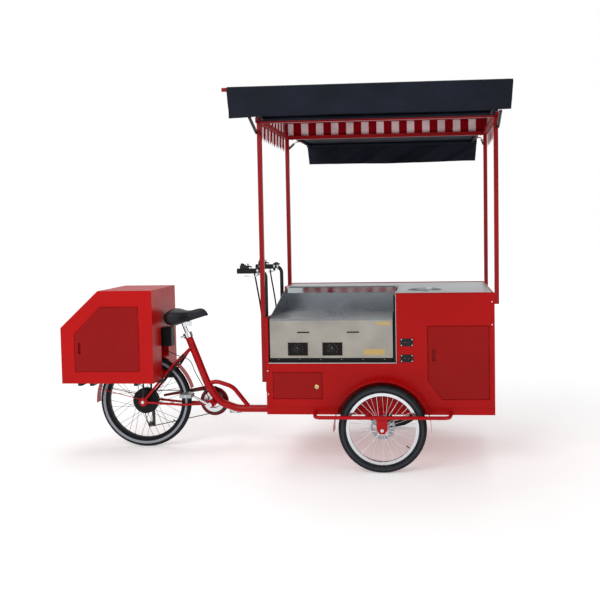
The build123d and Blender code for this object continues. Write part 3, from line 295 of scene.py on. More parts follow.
paintNode(paints["cabinet"], "side_panel_right", "side_panel_left", "front_panel", "rear_panel",
          "cabinet_inner",
          "chassis")
paintNode(paints["door"], "storage_door", "small_door", "rear_box_door_right", "rear_box_door_left")
paintNode(paints["boxShell"], "rear_box")
paintNode(paints["frame"], "main_frame", "rear_stays", "wheel_guards")
paintNode(paints["mudguard"], "rear_mudguard", "front_mudguards")
paintNode(paints["post"], "canopy_posts", "canopy_frame", "flap_frame_right", "flap_frame_left")
paintNode(paints["guard"], "chain_guard")
paintNode(paints["blackTube"], "handlebar", "strut_cylinders_right", "strut_cylinders_left", "box_rack")
paintNode(paints["blackRim"], "rear_rim")
paintNode(paints["motor"], "hub_motor", "motor_controller")
paintNode(steelPlate, "worktop", "sink", "griddle_shelf")
paintNode(steelFront, "griddle_body")
paintNode(steelSplash, "griddle_plate")
# the splash walls are polished upright sheet, given a darker copy of the steel colour as painted shade; the
# plate between them is ground along its length
plateMesh = nodes["griddle_plate"].data
plateMesh.materials.append(steelWallPaintedShade)
for polygon in plateMesh.polygons:
    polygon.material_index = 1 if abs(polygon.normal.z) < 0.5 else 0
paintNode(chromePlate, "seat_post", "front_axles", "rear_axle", "strut_rods_right", "strut_rods_left")
paintNode(alloy, "front_wheel_right", "front_wheel_left", "crankset")
paintNode(discSteel, "brake_disc_right", "brake_disc_left")
paintNode(oiledSteel, "chain", "derailleur")
paintNode(blackPlastic, "socket_plates")
paintNode(discSteel, "pedal_right", "pedal_left")
paintNode(gripRubber, "grips")
paintNode(sealRubber, "control_cables", "motor_cable")
for wheel in ("front_tyre_right", "front_tyre_left", "rear_tyre"):
    low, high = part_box(wheel)
    radius = (high[0] - low[0]) / 2
    axle = ((low[0] + high[0]) / 2, (low[1] + high[1]) / 2, (low[2] + high[2]) / 2)
    bandColour = "#8E929A" if wheel == "rear_tyre" else "#2E3136"
    paintNode(tyreRubber("tyreRubber_" + wheel, axle, 0.88 * radius, 0.93 * radius, bandColour), wheel)
print("cad nodes painted")


def finishPiece(bm, name, body, material, smooth=40.0):
    bmesh.ops.remove_doubles(bm, verts=bm.verts, dist=1e-6)
    bmesh.ops.recalc_face_normals(bm, faces=bm.faces)
    mesh = bpy.data.meshes.new(name)
    bm.to_mesh(mesh)
    bm.free()
    piece = bpy.data.objects.new(name, mesh)
    bpy.context.collection.objects.link(piece)
    mesh.materials.append(material)
    if smooth:
        mesh.shade_smooth()
        mesh.set_sharp_from_angle(angle=math.radians(smooth))
    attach(piece, body)
    return piece


def addBox(bm, low, high):
    size = [b - a for a, b in zip(low, high)]
    middle = [(a + b) / 2 for a, b in zip(low, high)]
    place = Matrix.Translation(middle) @ Matrix.Diagonal((*size, 1))
    return bmesh.ops.create_cube(bm, size=1.0, matrix=place)["verts"]


def addLathe(bm, origin, axis, profile, segments=24):
    # profile: (radius, distance along the axis) from one end to the other
    turn = Vector(axis).to_track_quat("Z", "Y").to_matrix()
    rings = []
    for radius, along in profile:
        ring = []
        for i in range(segments):
            angle = 2 * math.pi * i / segments
            point = turn @ Vector((radius * math.cos(angle), radius * math.sin(angle), along))
            ring.append(bm.verts.new(Vector(origin) + point))
        rings.append(ring)
    for a, b in zip(rings, rings[1:]):
        for i in range(segments):
            j = (i + 1) % segments
            bm.faces.new((a[i], a[j], b[j], b[i]))
    bm.faces.new(list(reversed(rings[0])))
    bm.faces.new(rings[-1])


def addTube(bm, points, radius, sides=10):
    points = [Vector(p) for p in points]
    rings = []
    side = None
    for i, point in enumerate(points):
        ahead = points[min(i + 1, len(points) - 1)] - points[max(i - 1, 0)]
        ahead.normalize()
        if side is None:
            side = ahead.orthogonal().normalized()
        side = (side - ahead * side.dot(ahead)).normalized()
        up = ahead.cross(side)
        rings.append([bm.verts.new(point + radius * (math.cos(t) * side + math.sin(t) * up))
                      for t in (2 * math.pi * k / sides for k in range(sides))])
    for a, b in zip(rings, rings[1:]):
        for k in range(sides):
            m = (k + 1) % sides
            bm.faces.new((a[k], a[m], b[m], b[k]))
    bm.faces.new(list(reversed(rings[0])))
    bm.faces.new(rings[-1])


def smoothPath(points, steps=8):
    # a Catmull-Rom run through a few chosen points
    points = [Vector(p) for p in points]
    line = [points[0] * 2 - points[1]] + points + [points[-1] * 2 - points[-2]]
    path = []
    for i in range(1, len(line) - 2):
        a, b, c, d = line[i - 1:i + 3]
        for k in range(steps):
            t = k / steps
            path.append(0.5 * ((2 * b) + (c - a) * t + (2 * a - 5 * b + 4 * c - d) * t * t
                               + (3 * b - 3 * c + d - a) * t ** 3))
    path.append(points[-1])
    return path


def clothMesh(rows, name, body, material, uvs, thickness=0.0015, smooth=True):
    # a grid of points with cloth lengths as UVs, given a real thickness
    bm = bmesh.new()
    layer = bm.loops.layers.uv.new("cloth")
    grid = [[bm.verts.new(p) for p in row] for row in rows]
    for i in range(len(grid) - 1):
        for j in range(len(grid[0]) - 1):
            face = bm.faces.new((grid[i][j], grid[i][j + 1], grid[i + 1][j + 1], grid[i + 1][j]))
            face.smooth = smooth
            corners = ((i, j), (i, j + 1), (i + 1, j + 1), (i + 1, j))
            for loop, (a, b) in zip(face.loops, corners):
                loop[layer].uv = uvs[a][b]
    mesh = bpy.data.meshes.new(name)
    bm.to_mesh(mesh)
    bm.free()
    mesh.materials.append(material)
    piece = bpy.data.objects.new(name, mesh)
    bpy.context.collection.objects.link(piece)
    solid = piece.modifiers.new("thickness", "SOLIDIFY")
    solid.thickness = thickness
    solid.offset = 0.0
    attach(piece, body)
    return piece


def makePiece(name, body, material, build, smooth=40.0):
    bm = bmesh.new()
    build(bm)
    return finishPiece(bm, name, body, material, smooth)


# canopy cloth
canopy = {"inset": 0.0015, "sagRoof": 0.018, "bulgeBand": 0.003, "barHeight": 0.025, "shift": -0.0095}


def edgeWave(value, seed):
    return math.sin(value * 9.1 + seed) * 0.6 + math.sin(value * 23.7 + 2.1 * seed) * 0.3


def makeCanopyCloth():
    low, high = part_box("canopy_cloth")
    frameLow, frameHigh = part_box("canopy_frame")
    wallTop = frameHigh[2]
    bandLow = frameLow[2] + canopy["barHeight"]
    crown = high[2] - wallTop
    x0, x1 = low[0] + canopy["inset"], high[0] - canopy["inset"]
    y0, y1 = low[1] + canopy["inset"], high[1] - canopy["inset"]
    bm = bmesh.new()
    layer = bm.loops.layers.uv.new("cloth")
    countX, countY = 68, 46

    def roofHeight(x, y):
        away = min(x - x0, x1 - x, y - y0, y1 - y)
        rise = min(1.0, away / 0.3)
        lift = crown * rise * 0.96
        sag = canopy["sagRoof"] * math.sin(math.pi * min(1.0, away / 0.3)) * 0.6
        return wallTop + 0.001 + max(0.0, lift - sag)

    xs = [x0 + (x1 - x0) * i / countX for i in range(countX + 1)]
    ys = [y0 + (y1 - y0) * j / countY for j in range(countY + 1)]
    top = [[bm.verts.new((x, y, roofHeight(x, y))) for x in xs] for y in ys]

    def stripeAt(point, byX):
        return (point.x - x0 + canopy["shift"], point.y - y0) if byX else (point.y - y0, point.x - x0)

    def addFace(verts, byX):
        face = bm.faces.new(verts)
        face.smooth = True
        for loop in face.loops:
            u, v = stripeAt(loop.vert.co, byX)
            loop[layer].uv = (u, v + loop.vert.co.z)

    for j in range(countY):
        for i in range(countX):
            addFace((top[j][i], top[j][i + 1], top[j + 1][i + 1], top[j + 1][i]), True)
    bands = 6
    loops = (
        ([top[0][i] for i in range(countX + 1)], True, (0, -1)),
        ([top[countY][i] for i in range(countX + 1)], True, (0, 1)),
        ([top[j][0] for j in range(countY + 1)], False, (-1, 0)),
        ([top[j][countX] for j in range(countY + 1)], False, (1, 0)),
    )
    for line, byX, out in loops:
        previous = line
        for k in range(1, bands + 1):
            z = wallTop + (bandLow - wallTop) * k / bands
            row = []
            for n, vert in enumerate(line):
                ends = math.sin(math.pi * n / (len(line) - 1))
                belly = -canopy["bulgeBand"] * math.sin(math.pi * k / bands) * ends
                wave = 0.0012 * edgeWave(n * 0.3, 1.0 + out[0] + 2 * out[1]) * k / bands * ends
                row.append(bm.verts.new((vert.co.x + out[0] * (belly + wave),
                                         vert.co.y + out[1] * (belly + wave),
                                         z)))
            for n in range(len(line) - 1):
                addFace((previous[n], previous[n + 1], row[n + 1], row[n]), byX)
            previous = row
    bmesh.ops.remove_doubles(bm, verts=bm.verts, dist=1e-5)
    bmesh.ops.recalc_face_normals(bm, faces=bm.faces)
    area = sum(face.calc_area() for face in bm.faces)
    mesh = bpy.data.meshes.new("canopyCloth")
    bm.to_mesh(mesh)
    bm.free()
    mesh.materials.append(stripedCloth)
    piece = bpy.data.objects.new("canopyCloth", mesh)
    bpy.context.collection.objects.link(piece)
    solid = piece.modifiers.new("thickness", "SOLIDIFY")
    solid.thickness = 0.0014
    solid.offset = 0.0
    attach(piece, "cart")
    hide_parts("canopy_cloth")


makeCanopyCloth()
print("canopy cloth made")


valence = {"points": 13, "tooth": 0.026, "wave": 0.003, "drop": 0.090, "slant": 0.18, "top": 0.002,
           "halfWidth": 0.4365}


def makeEndValence(name, side):
    # a strip of the striped cloth cut on the slant, its lower edge in points, sewn under the end rail
    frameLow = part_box("canopy_frame")[0]
    clothLow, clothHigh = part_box("canopy_cloth")
    x = clothLow[0] + 0.003 if side < 0 else clothHigh[0] - 0.003
    top = frameLow[2] + valence["top"]
    countY, countZ = 208, 12
    half = valence["halfWidth"]
    rows, uvs = [], []
    for k in range(countZ + 1):
        down = k / countZ
        row, uvRow = [], []
        for j in range(countY + 1):
            along = j / countY
            y = -half + 2 * half * along
            tooth = abs((along * valence["points"]) % 1.0 - 0.5) * 2
            depth = valence["drop"] - valence["tooth"] * tooth
            wave = valence["wave"] * (0.3 + 0.7 * down) * (0.5 + 0.5 * edgeWave(along * 4.2, 3 + side) / 0.9)
            row.append((x - side * max(0.0, wave), y, top - depth * down))
            uvRow.append((y + valence["slant"] * depth * down, depth * down))
        rows.append(row)
        uvs.append(uvRow)
    piece = clothMesh(rows, name, "cart", stripedCloth, uvs, thickness=0.001)


makeEndValence("rearStripedValence", -1)
makeEndValence("frontStripedValence", 1)
print("end valences made")


flap = {"cover": 0.0128, "sag": 0.02, "fold": 0.015, "wrap": 0.0125, "sleeve": 0.0122, "sideSleeve": 0.0102,
        "ends": {"right": (0.708, 0.718), "left": (0.640, 0.662)}, "hemLift": {"right": 0.010, "left": 0.003}}


def flapPlace(side):
    # hinge line, outer bar line and hanging strip's box of one flap
    joint = next(j for j in frame["joints"] if j["name"] == f"flap_{side}_hinge")
    hang = next(j for j in frame["joints"] if j["name"] == f"valence_{side}_hang")
    hinge = Vector(joint["pos_m"])
    bar = Vector(hang["pos_m"])
    return hinge, bar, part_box(f"flap_valence_{side}")


def makeFlap(side, halfInner):
    hinge, bar, valenceBox = flapPlace(side)
    out = (bar - hinge)
    reach = out.length
    out.normalize()
    up = Vector((1, 0, 0)).cross(out)
    if up.z < 0:
        up = -up
    sign = 1 if side == "left" else -1
    rearEnd, frontEnd = flap["ends"][side]
    countU, countV = 96, 40
    rows, uvs = [], []

    def acrossAt(s, t):
        rear = halfInner + (rearEnd - halfInner) * t
        front = halfInner + (frontEnd - halfInner) * t
        return hinge.x - rear + (rear + front) * s

    for k in range(countV + 1):
        t = k / countV
        along = -0.002 + (reach + 0.002) * t
        row, uvRow = [], []
        for i in range(countU + 1):
            s = i / countU
            belly = math.sin(math.pi * t) * math.sin(math.pi * s) ** 0.5
            ripple = flap["fold"] * 0.35 * math.sin(math.pi * t) * edgeWave(s * 3.1 + t * 0.8, 2 * sign)
            lift = flap["cover"] - flap["sag"] * 0.5 * belly + ripple * belly
            point = hinge + out * along + up * lift
            row.append((acrossAt(s, t), point.y, point.z))
            uvRow.append((acrossAt(s, t), along))
        rows.append(row)
        uvs.append(uvRow)
    # the sheet rolls a little way over the bar
    for k in range(1, 3):
        angle = math.radians(10.0 * k)
        point = bar + flap["cover"] * (out * math.sin(angle) + up * math.cos(angle))
        rows.append([(acrossAt(i / countU, 1), point.y, point.z) for i in range(countU + 1)])
        uvs.append([(acrossAt(i / countU, 1), reach + flap["cover"] * angle) for i in range(countU + 1)])
    piece = clothMesh(rows, f"flapCloth_{side}", f"flap_{side}", darkCloth, uvs)
    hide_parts(f"flap_cloth_{side}")

    def sleeves(bm):
        tubeIn = 0.035 if side == "right" else 0.012
        shift = (frontEnd - rearEnd) / 2
        inner = halfInner - 0.012
        addTube(bm, [hinge + Vector((-inner, 0, 0)), hinge + Vector((inner, 0, 0))], flap["sleeve"], 20)
        middle = bar + Vector((shift, 0, 0))
        half = (frontEnd + rearEnd) / 2
        addTube(bm, [middle + Vector((-half, 0, 0)), middle + Vector((half, 0, 0))], flap["sleeve"], 20)
        flare = (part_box(f"flap_frame_{side}")[1][0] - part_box(f"flap_frame_{side}")[0][0]) / 2 - halfInner
        for end in (-1, 1):
            start = hinge + Vector((end * (halfInner - tubeIn), 0, 0)) + out * 0.03
            stop = bar + Vector((end * (halfInner + (flare if side == "right" else -0.017) - tubeIn), 0,
                                 0)) - out * 0.012
            addTube(bm, [start, start.lerp(stop, 0.4)], flap["sideSleeve"], 16)
            addTube(bm, [start.lerp(stop, 0.47), stop], flap["sideSleeve"], 16)
    sleeve = makePiece(f"flapSleeve_{side}", f"flap_{side}", darkCloth, sleeves)

    # the hanging strip: leaves the bar's outer side and falls in long soft folds to a stitched hem
    drop = bar.z - valenceBox[0][2]
    countV = 30
    rows, uvs = [], []
    faceOut = Vector((0, sign, 0))
    for k in range(0, 2):
        angle = math.radians(80.0 + 6.0 * k)
        point = bar + (flap["cover"] + 0.0022) * (faceOut * math.sin(angle) + Vector((0, 0,
                                                                                      1)) * math.cos(angle))
        rows.append([(acrossAt(i / countU, 1), point.y, point.z) for i in range(countU + 1)])
        uvs.append([(acrossAt(i / countU, 1), -0.003 + 0.0015 * k) for i in range(countU + 1)])
    taper = 0.012
    for k in range(countV + 1):
        t = k / countV
        row, uvRow = [], []
        for i in range(countU + 1):
            s = i / countU
            x = acrossAt(s, 1) + taper * t * (1 - 2 * s)
            # slanting creases pulled from the corners over slow folds
            fold = 0.6 * edgeWave(s * 2.6 + 0.5 * t, 5 * sign) + 0.4 * math.sin(s * 19 + 2.2 * t + 3 * sign)
            depth = flap["fold"] * (0.2 + 0.8 * t) * fold * min(1.0, 4 * t + 0.05)
            outward = flap["cover"] + 0.0022 + 0.017 * t + depth
            droop = flap["hemLift"][side] * t * s + 0.003 * t * math.sin(s * 7 + sign)
            row.append((x, bar.y + sign * max(flap["wrap"], outward), bar.z - drop * t + droop))
            uvRow.append((x, drop * t))
        rows.append(row)
        uvs.append(uvRow)
    skirt = clothMesh(rows, f"flapValence_{side}", f"valence_{side}", darkCloth, uvs)
    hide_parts(f"flap_valence_{side}")
    stitches = bmesh.new()
    hemLine = rows[-3]
    for i in range(0, countU):
        a, b = Vector(hemLine[i]), Vector(hemLine[i + 1])
        for m in range(2):
            start = a.lerp(b, 0.1 + 0.5 * m)
            end = a.lerp(b, 0.42 + 0.5 * m)
            offset = Vector((0, sign * 0.0011, 0))
            addTube(stitches, [start + offset, end + offset], 0.0005, 4)
    thread = finishPiece(stitches, f"hemStitch_{side}", f"valence_{side}", darkCloth)


for side, innerHalf in (("right", 0.69), ("left", 0.65)):
    makeFlap(side, innerHalf)
print("flaps made")


saddle = {"rows": 28, "around": 32}


def makeSaddle():
    low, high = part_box("saddle")
    length = high[0] - low[0]
    halfMax = (high[1] - low[1]) / 2 - 0.002
    bm = bmesh.new()
    rings = []
    for i in range(saddle["rows"] + 1):
        t = i / saddle["rows"]
        x = low[0] + 0.002 + (length - 0.004) * t
        wide = halfMax * (1 - 0.8 * (1 / (1 + math.exp(-14 * (t - 0.46)))))
        tail = min(1.0, math.sqrt(max(0.0, t / 0.1))) if t < 0.1 else 1.0
        nose = math.sqrt(max(0.0, 1 - ((t - 0.9) / 0.1) ** 2)) if t > 0.9 else 1.0
        half = max(0.004, wide * (0.62 + 0.38 * tail) * nose if t < 0.1 else wide * nose)
        top = low[2] + (high[2] - low[2]) * (0.94 + 0.06 * math.cos(2 * math.pi * (t - 0.22) / 0.62))
        if t < 0.22:
            top -= 0.02 * ((0.22 - t) / 0.22) ** 2
        if t > 0.84:
            top -= 0.03 * ((t - 0.84) / 0.16) ** 2
        rise = 0.024 * (0.2 - t) / 0.2 if t < 0.2 else 0.072 * ((t - 0.2) / 0.8) ** 0.9
        under = low[2] + 0.004 + rise
        under = min(under, top - 0.012)
        ring = []
        for k in range(saddle["around"]):
            angle = 2 * math.pi * k / saddle["around"]
            c, s = math.cos(angle), math.sin(angle)
            y = half * (abs(c) ** 0.8) * (1 if c > 0 else -1)
            spread = abs(s) ** (0.75 if s > 0 else 0.55)
            middle = top - (top - under) * 0.42
            z = middle + (top - middle) * spread if s > 0 else middle - (middle - under) * spread
            if s < 0:
                y *= 0.86 + 0.14 * (1 - spread)
            ring.append(bm.verts.new((x, y, z)))
        rings.append(ring)
    for a, b in zip(rings, rings[1:]):
        for k in range(saddle["around"]):
            m = (k + 1) % saddle["around"]
            bm.faces.new((a[k], a[m], b[m], b[k]))
    bm.faces.new(list(reversed(rings[0])))
    bm.faces.new(rings[-1])
    cover = finishPiece(bm, "saddleCover", "rear_frame", saddleVinyl, smooth=75)
    cover.modifiers.new("round", "SUBSURF").levels = 1
    cover.modifiers["round"].render_levels = 1
    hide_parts("saddle")


makeSaddle()
print("saddle made")


# tyre tread: three rows of blocks standing on the crown
tread = {"blocks": 84, "height": 0.0022, "rows": (-0.013, 0.0, 0.013)}


def makeTread(tyreName, body):
    low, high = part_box(tyreName)
    centre = [(a + b) / 2 for a, b in zip(low, high)]
    outer = (high[2] - low[2]) / 2
    section = (high[1] - low[1]) / 2
    bm = bmesh.new()
    for row, across in enumerate(tread["rows"]):
        for i in range(tread["blocks"]):
            angle = 2 * math.pi * (i + 0.5 * (row % 2)) / tread["blocks"]
            lean = math.asin(across / section)
            radius = outer - section + (section - 0.0006) * math.cos(lean)
            place = (Matrix.Translation((centre[0], centre[1] + across, centre[2]))
                     @ Matrix.Rotation(angle, 4, "Y") @ Matrix.Translation((0, 0, radius))
                     @ Matrix.Rotation(-lean, 4, "X")
                     @ Matrix.Diagonal((2 * math.pi * outer / tread["blocks"] * 0.72, 0.0096,
                                        tread["height"], 1)))
            bmesh.ops.create_cube(bm, size=0.82, matrix=place)
    for vert in bm.verts:
        flat = math.hypot(vert.co.x - centre[0], vert.co.z - centre[2])
        if flat > outer:
            vert.co.x = centre[0] + (vert.co.x - centre[0]) * outer / flat
            vert.co.z = centre[2] + (vert.co.z - centre[2]) * outer / flat
    finishPiece(bm, "tread_" + tyreName, body, nodes[tyreName].data.materials[0], smooth=30)


makeTread("front_tyre_right", "front_wheel_right")
makeTread("front_tyre_left", "front_wheel_left")
makeTread("rear_tyre", "rear_wheel")
print("tread made")


# anchors read from the frame

cabinetLow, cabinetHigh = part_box("side_panel_left")
nearFace = -cabinetHigh[1]
cabinetTop = cabinetHigh[2]


# doors: stops behind the gaps, slot cups, lock
doorFittings = {"gapDepth": 0.0022, "clear": 0.0004, "reach": 0.0032, "stopThickness": 0.0016,
                "cupDepth": 0.011, "wall": 0.001}


def doorOutline(door):
    # corners of the door's outer face, in order round it
    low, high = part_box(door)
    outward = -1 if low[1] + high[1] < 0 else 1
    mesh = nodes[door].data
    areas = {}
    for polygon in mesh.polygons:
        if polygon.normal.y * outward > 0.99:
            y = round(polygon.center.y, 4)
            areas[y] = areas.get(y, 0) + polygon.area
    face = max(areas, key=areas.get)
    points = {(round(v.co.x, 4), round(v.co.z, 4)) for v in mesh.vertices if abs(v.co.y - face) < 1e-4}
    middle = ((low[0] + high[0]) / 2, (low[2] + high[2]) / 2)
    left, right = min(p[0] for p in points), max(p[0] for p in points)
    floor, top = min(p[1] for p in points), max(p[1] for p in points)
    edge = [p for p in points if min(p[0] - left, right - p[0], p[1] - floor, top - p[1]) < 1e-3]
    edge.sort(key=lambda p: math.atan2(p[1] - middle[1], p[0] - middle[0]))
    return edge, face


def makeDoorStops(door, body, material):
    # folded lip of the opening, seen through the gap round the door
    low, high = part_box(door)
    inward = 1 if low[1] + high[1] < 0 else -1
    back = high[1] if inward > 0 else low[1]
    outline, face = doorOutline(door)
    depths = (face + inward * doorFittings["gapDepth"], back + inward * doorFittings["stopThickness"])
    middle = ((low[0] + high[0]) / 2, (low[2] + high[2]) / 2)

    def build(bm):
        rings = []
        for offset in (doorFittings["clear"], doorFittings["reach"]):
            rings.append([[bm.verts.new((x + math.copysign(offset, x - middle[0]), y,
                                         z + math.copysign(offset, z - middle[1])))
                           for y in depths] for x, z in outline])
        inner, outer = rings
        for k in range(len(outline)):
            m = (k + 1) % len(outline)
            bm.faces.new((inner[k][0], inner[m][0], outer[m][0], outer[k][0]))
            bm.faces.new((inner[k][1], outer[k][1], outer[m][1], inner[m][1]))
            bm.faces.new((inner[k][0], inner[k][1], inner[m][1], inner[m][0]))
            bm.faces.new((outer[k][0], outer[m][0], outer[m][1], outer[k][1]))
    makePiece("stop_" + door, body, material, build, 0)


def makeSlotCup(door, body, x, z, width, height):
    low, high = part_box(door)
    outward = -1 if low[1] + high[1] < 0 else 1
    face = low[1] if outward < 0 else high[1]
    depth = doorFittings["cupDepth"]
    wall = doorFittings["wall"]
    w, h = width / 2 - 0.0002, height / 2 - 0.0002

    def build(bm):
        y0, y1 = sorted((face - outward * 0.0004, face - outward * depth))
        for x0, x1, z0, z1 in ((-w, -w + wall, -h, h), (w - wall, w, -h, h), (-w, w, -h, -h + wall),
                               (-w, w, h - wall, h)):
            addBox(bm, (x + x0, y0, z + z0), (x + x1, y1, z + z1))
        b0, b1 = sorted((face - outward * depth, face - outward * (depth + wall)))
        addBox(bm, (x - w, b0, z - h), (x + w, b1, z + h))
    makePiece("slotCup_" + door, body, paints["door"], build, 0)


makeDoorStops("storage_door", "cart", paints["cabinet"])
makeDoorStops("small_door", "cart", paints["cabinet"])
for side in ("right", "left"):
    makeDoorStops(f"rear_box_door_{side}", "rear_frame", paints["boxShell"])
    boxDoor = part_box(f"rear_box_door_{side}")
    makeSlotCup(f"rear_box_door_{side}", f"box_door_{side}", boxDoor[0][0] + 0.029, 0.685, 0.018, 0.07)
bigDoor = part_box("storage_door")
makeSlotCup("storage_door", "storage_door", bigDoor[0][0] + 0.031, 0.676, 0.018, 0.07)

lock = {"inFromFront": 0.029, "z": 0.49, "radius": 0.0128, "barrel": 0.007}


def makeLock():
    low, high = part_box("small_door")
    x = high[0] - lock["inFromFront"]

    def face(bm):
        r = lock["radius"]
        addLathe(bm, (x, low[1] - 0.0002, lock["z"]), (0, -1, 0),
                 [(r, -0.003), (r, 0.0006), (r * 0.88, 0.0016),
                 (r * 0.62, 0.0018), (r * 0.6, 0.0009), (lock["barrel"], 0.0009), (lock["barrel"], 0.0024),
                 (lock["barrel"] * 0.8, 0.0028), (0.0008, 0.0028)], 32)

    def key(bm):
        addBox(bm, (x - 0.0007, low[1] - 0.0032, lock["z"] - 0.0042),
               (x + 0.0007, low[1] - 0.0026, lock["z"] + 0.0042))
    makePiece("lockFace", "small_door", brass, face)
    makePiece("lockKeyway", "small_door", blackPlastic, key, 0)


makeLock()
print("doors fitted")


# screws and seams of the cabinet
screw = {"radius": 0.0042, "height": 0.0022, "socket": 0.0017}


def addScrew(bm, place, axis, radius=None):
    radius = radius or screw["radius"]
    height = screw["height"]
    addLathe(bm, place, axis, [(radius, -0.0004), (radius, height * 0.3), (radius * 0.86, height * 0.75),
                               (screw["socket"] * radius / 0.0042, height),
                               (screw["socket"] * radius / 0.0042, height * 0.4),
                               (0.0003, height * 0.4)], 14)


def makeCabinetScrews():
    def build(bm):
        front = cabinetHigh[0] - 0.016
        rear = cabinetLow[0] + 0.010
        for x, heights in ((front, (0.985, 0.853)), (rear, (0.585, 0.445))):
            for z in heights:
                addScrew(bm, (x, nearFace, z), (0, -1, 0))
                addScrew(bm, (x, -nearFace, z), (0, 1, 0))
        for z in (0.985, 0.853, 0.70, 0.55, 0.40):
            for y in (-0.40, 0.40):
                addScrew(bm, (cabinetHigh[0], y, z), (1, 0, 0))
                if z < 0.88:
                    addScrew(bm, (cabinetLow[0], y * 0.8, z), (-1, 0, 0))
        for x in (0.14, 0.42, 0.70, 0.98):
            for z in (0.985, 0.40):
                addScrew(bm, (cabinetLow[0] + x, -nearFace, z), (0, 1, 0))
    makePiece("cabinetScrews", "cart", chromePlate, build)


seam = {"z": 0.3655, "height": 0.0022, "proud": 0.0011}


def makeSeams():
    # folded lip where the panels meet the floor frame, and the corner joints
    def build(bm):
        z0, z1 = seam["z"], seam["z"] + seam["height"]
        p = seam["proud"]
        x0, x1 = cabinetLow[0], cabinetHigh[0]
        for y0, y1 in ((nearFace - p, nearFace + 0.0006), (-nearFace - 0.0006, -nearFace + p)):
            addBox(bm, (x0 - p, y0, z0), (x1 + p, y1, z1))
        for a, b in ((x0 - p, x0 + 0.0006), (x1 - 0.0006, x1 + p)):
            addBox(bm, (a, nearFace - p, z0), (b, -nearFace + p, z1))
        for x in (x0 + 0.0195, x1 - 0.0205):
            for y0, y1 in ((nearFace - p * 0.7, nearFace + 0.0006),
                           (-nearFace - 0.0006, -nearFace + p * 0.7)):
                top = cabinetTop - 0.001 if (x > 0.5 or y0 > 0) else 0.628
                addBox(bm, (x - 0.0006, y0, z1), (x + 0.0006, y1, top))
    makePiece("panelSeams", "cart", paints["cabinet"], build, 0)


makeCabinetScrews()
makeSeams()
print("cabinet seams and screws made")


# griddle
griddle = {
    "windowCentres": (0.1665, 0.3715), "windowHalf": 0.0595, "windowLow": 0.673, "windowHigh": 0.751,
    "slotCentres": (0.2, 0.4945), "slotHalf": 0.036, "slotZ": 0.811, "lip": 0.003,
    "plateX": (0.555, 0.68), "plateZ": (0.676, 0.711), "smallPlateX": (0.636, 0.716),
    "smallPlateZ": (0.852, 0.872),
    "flueHeight": 0.032, "flueDepth": 0.030, "ventCount": 54,
}


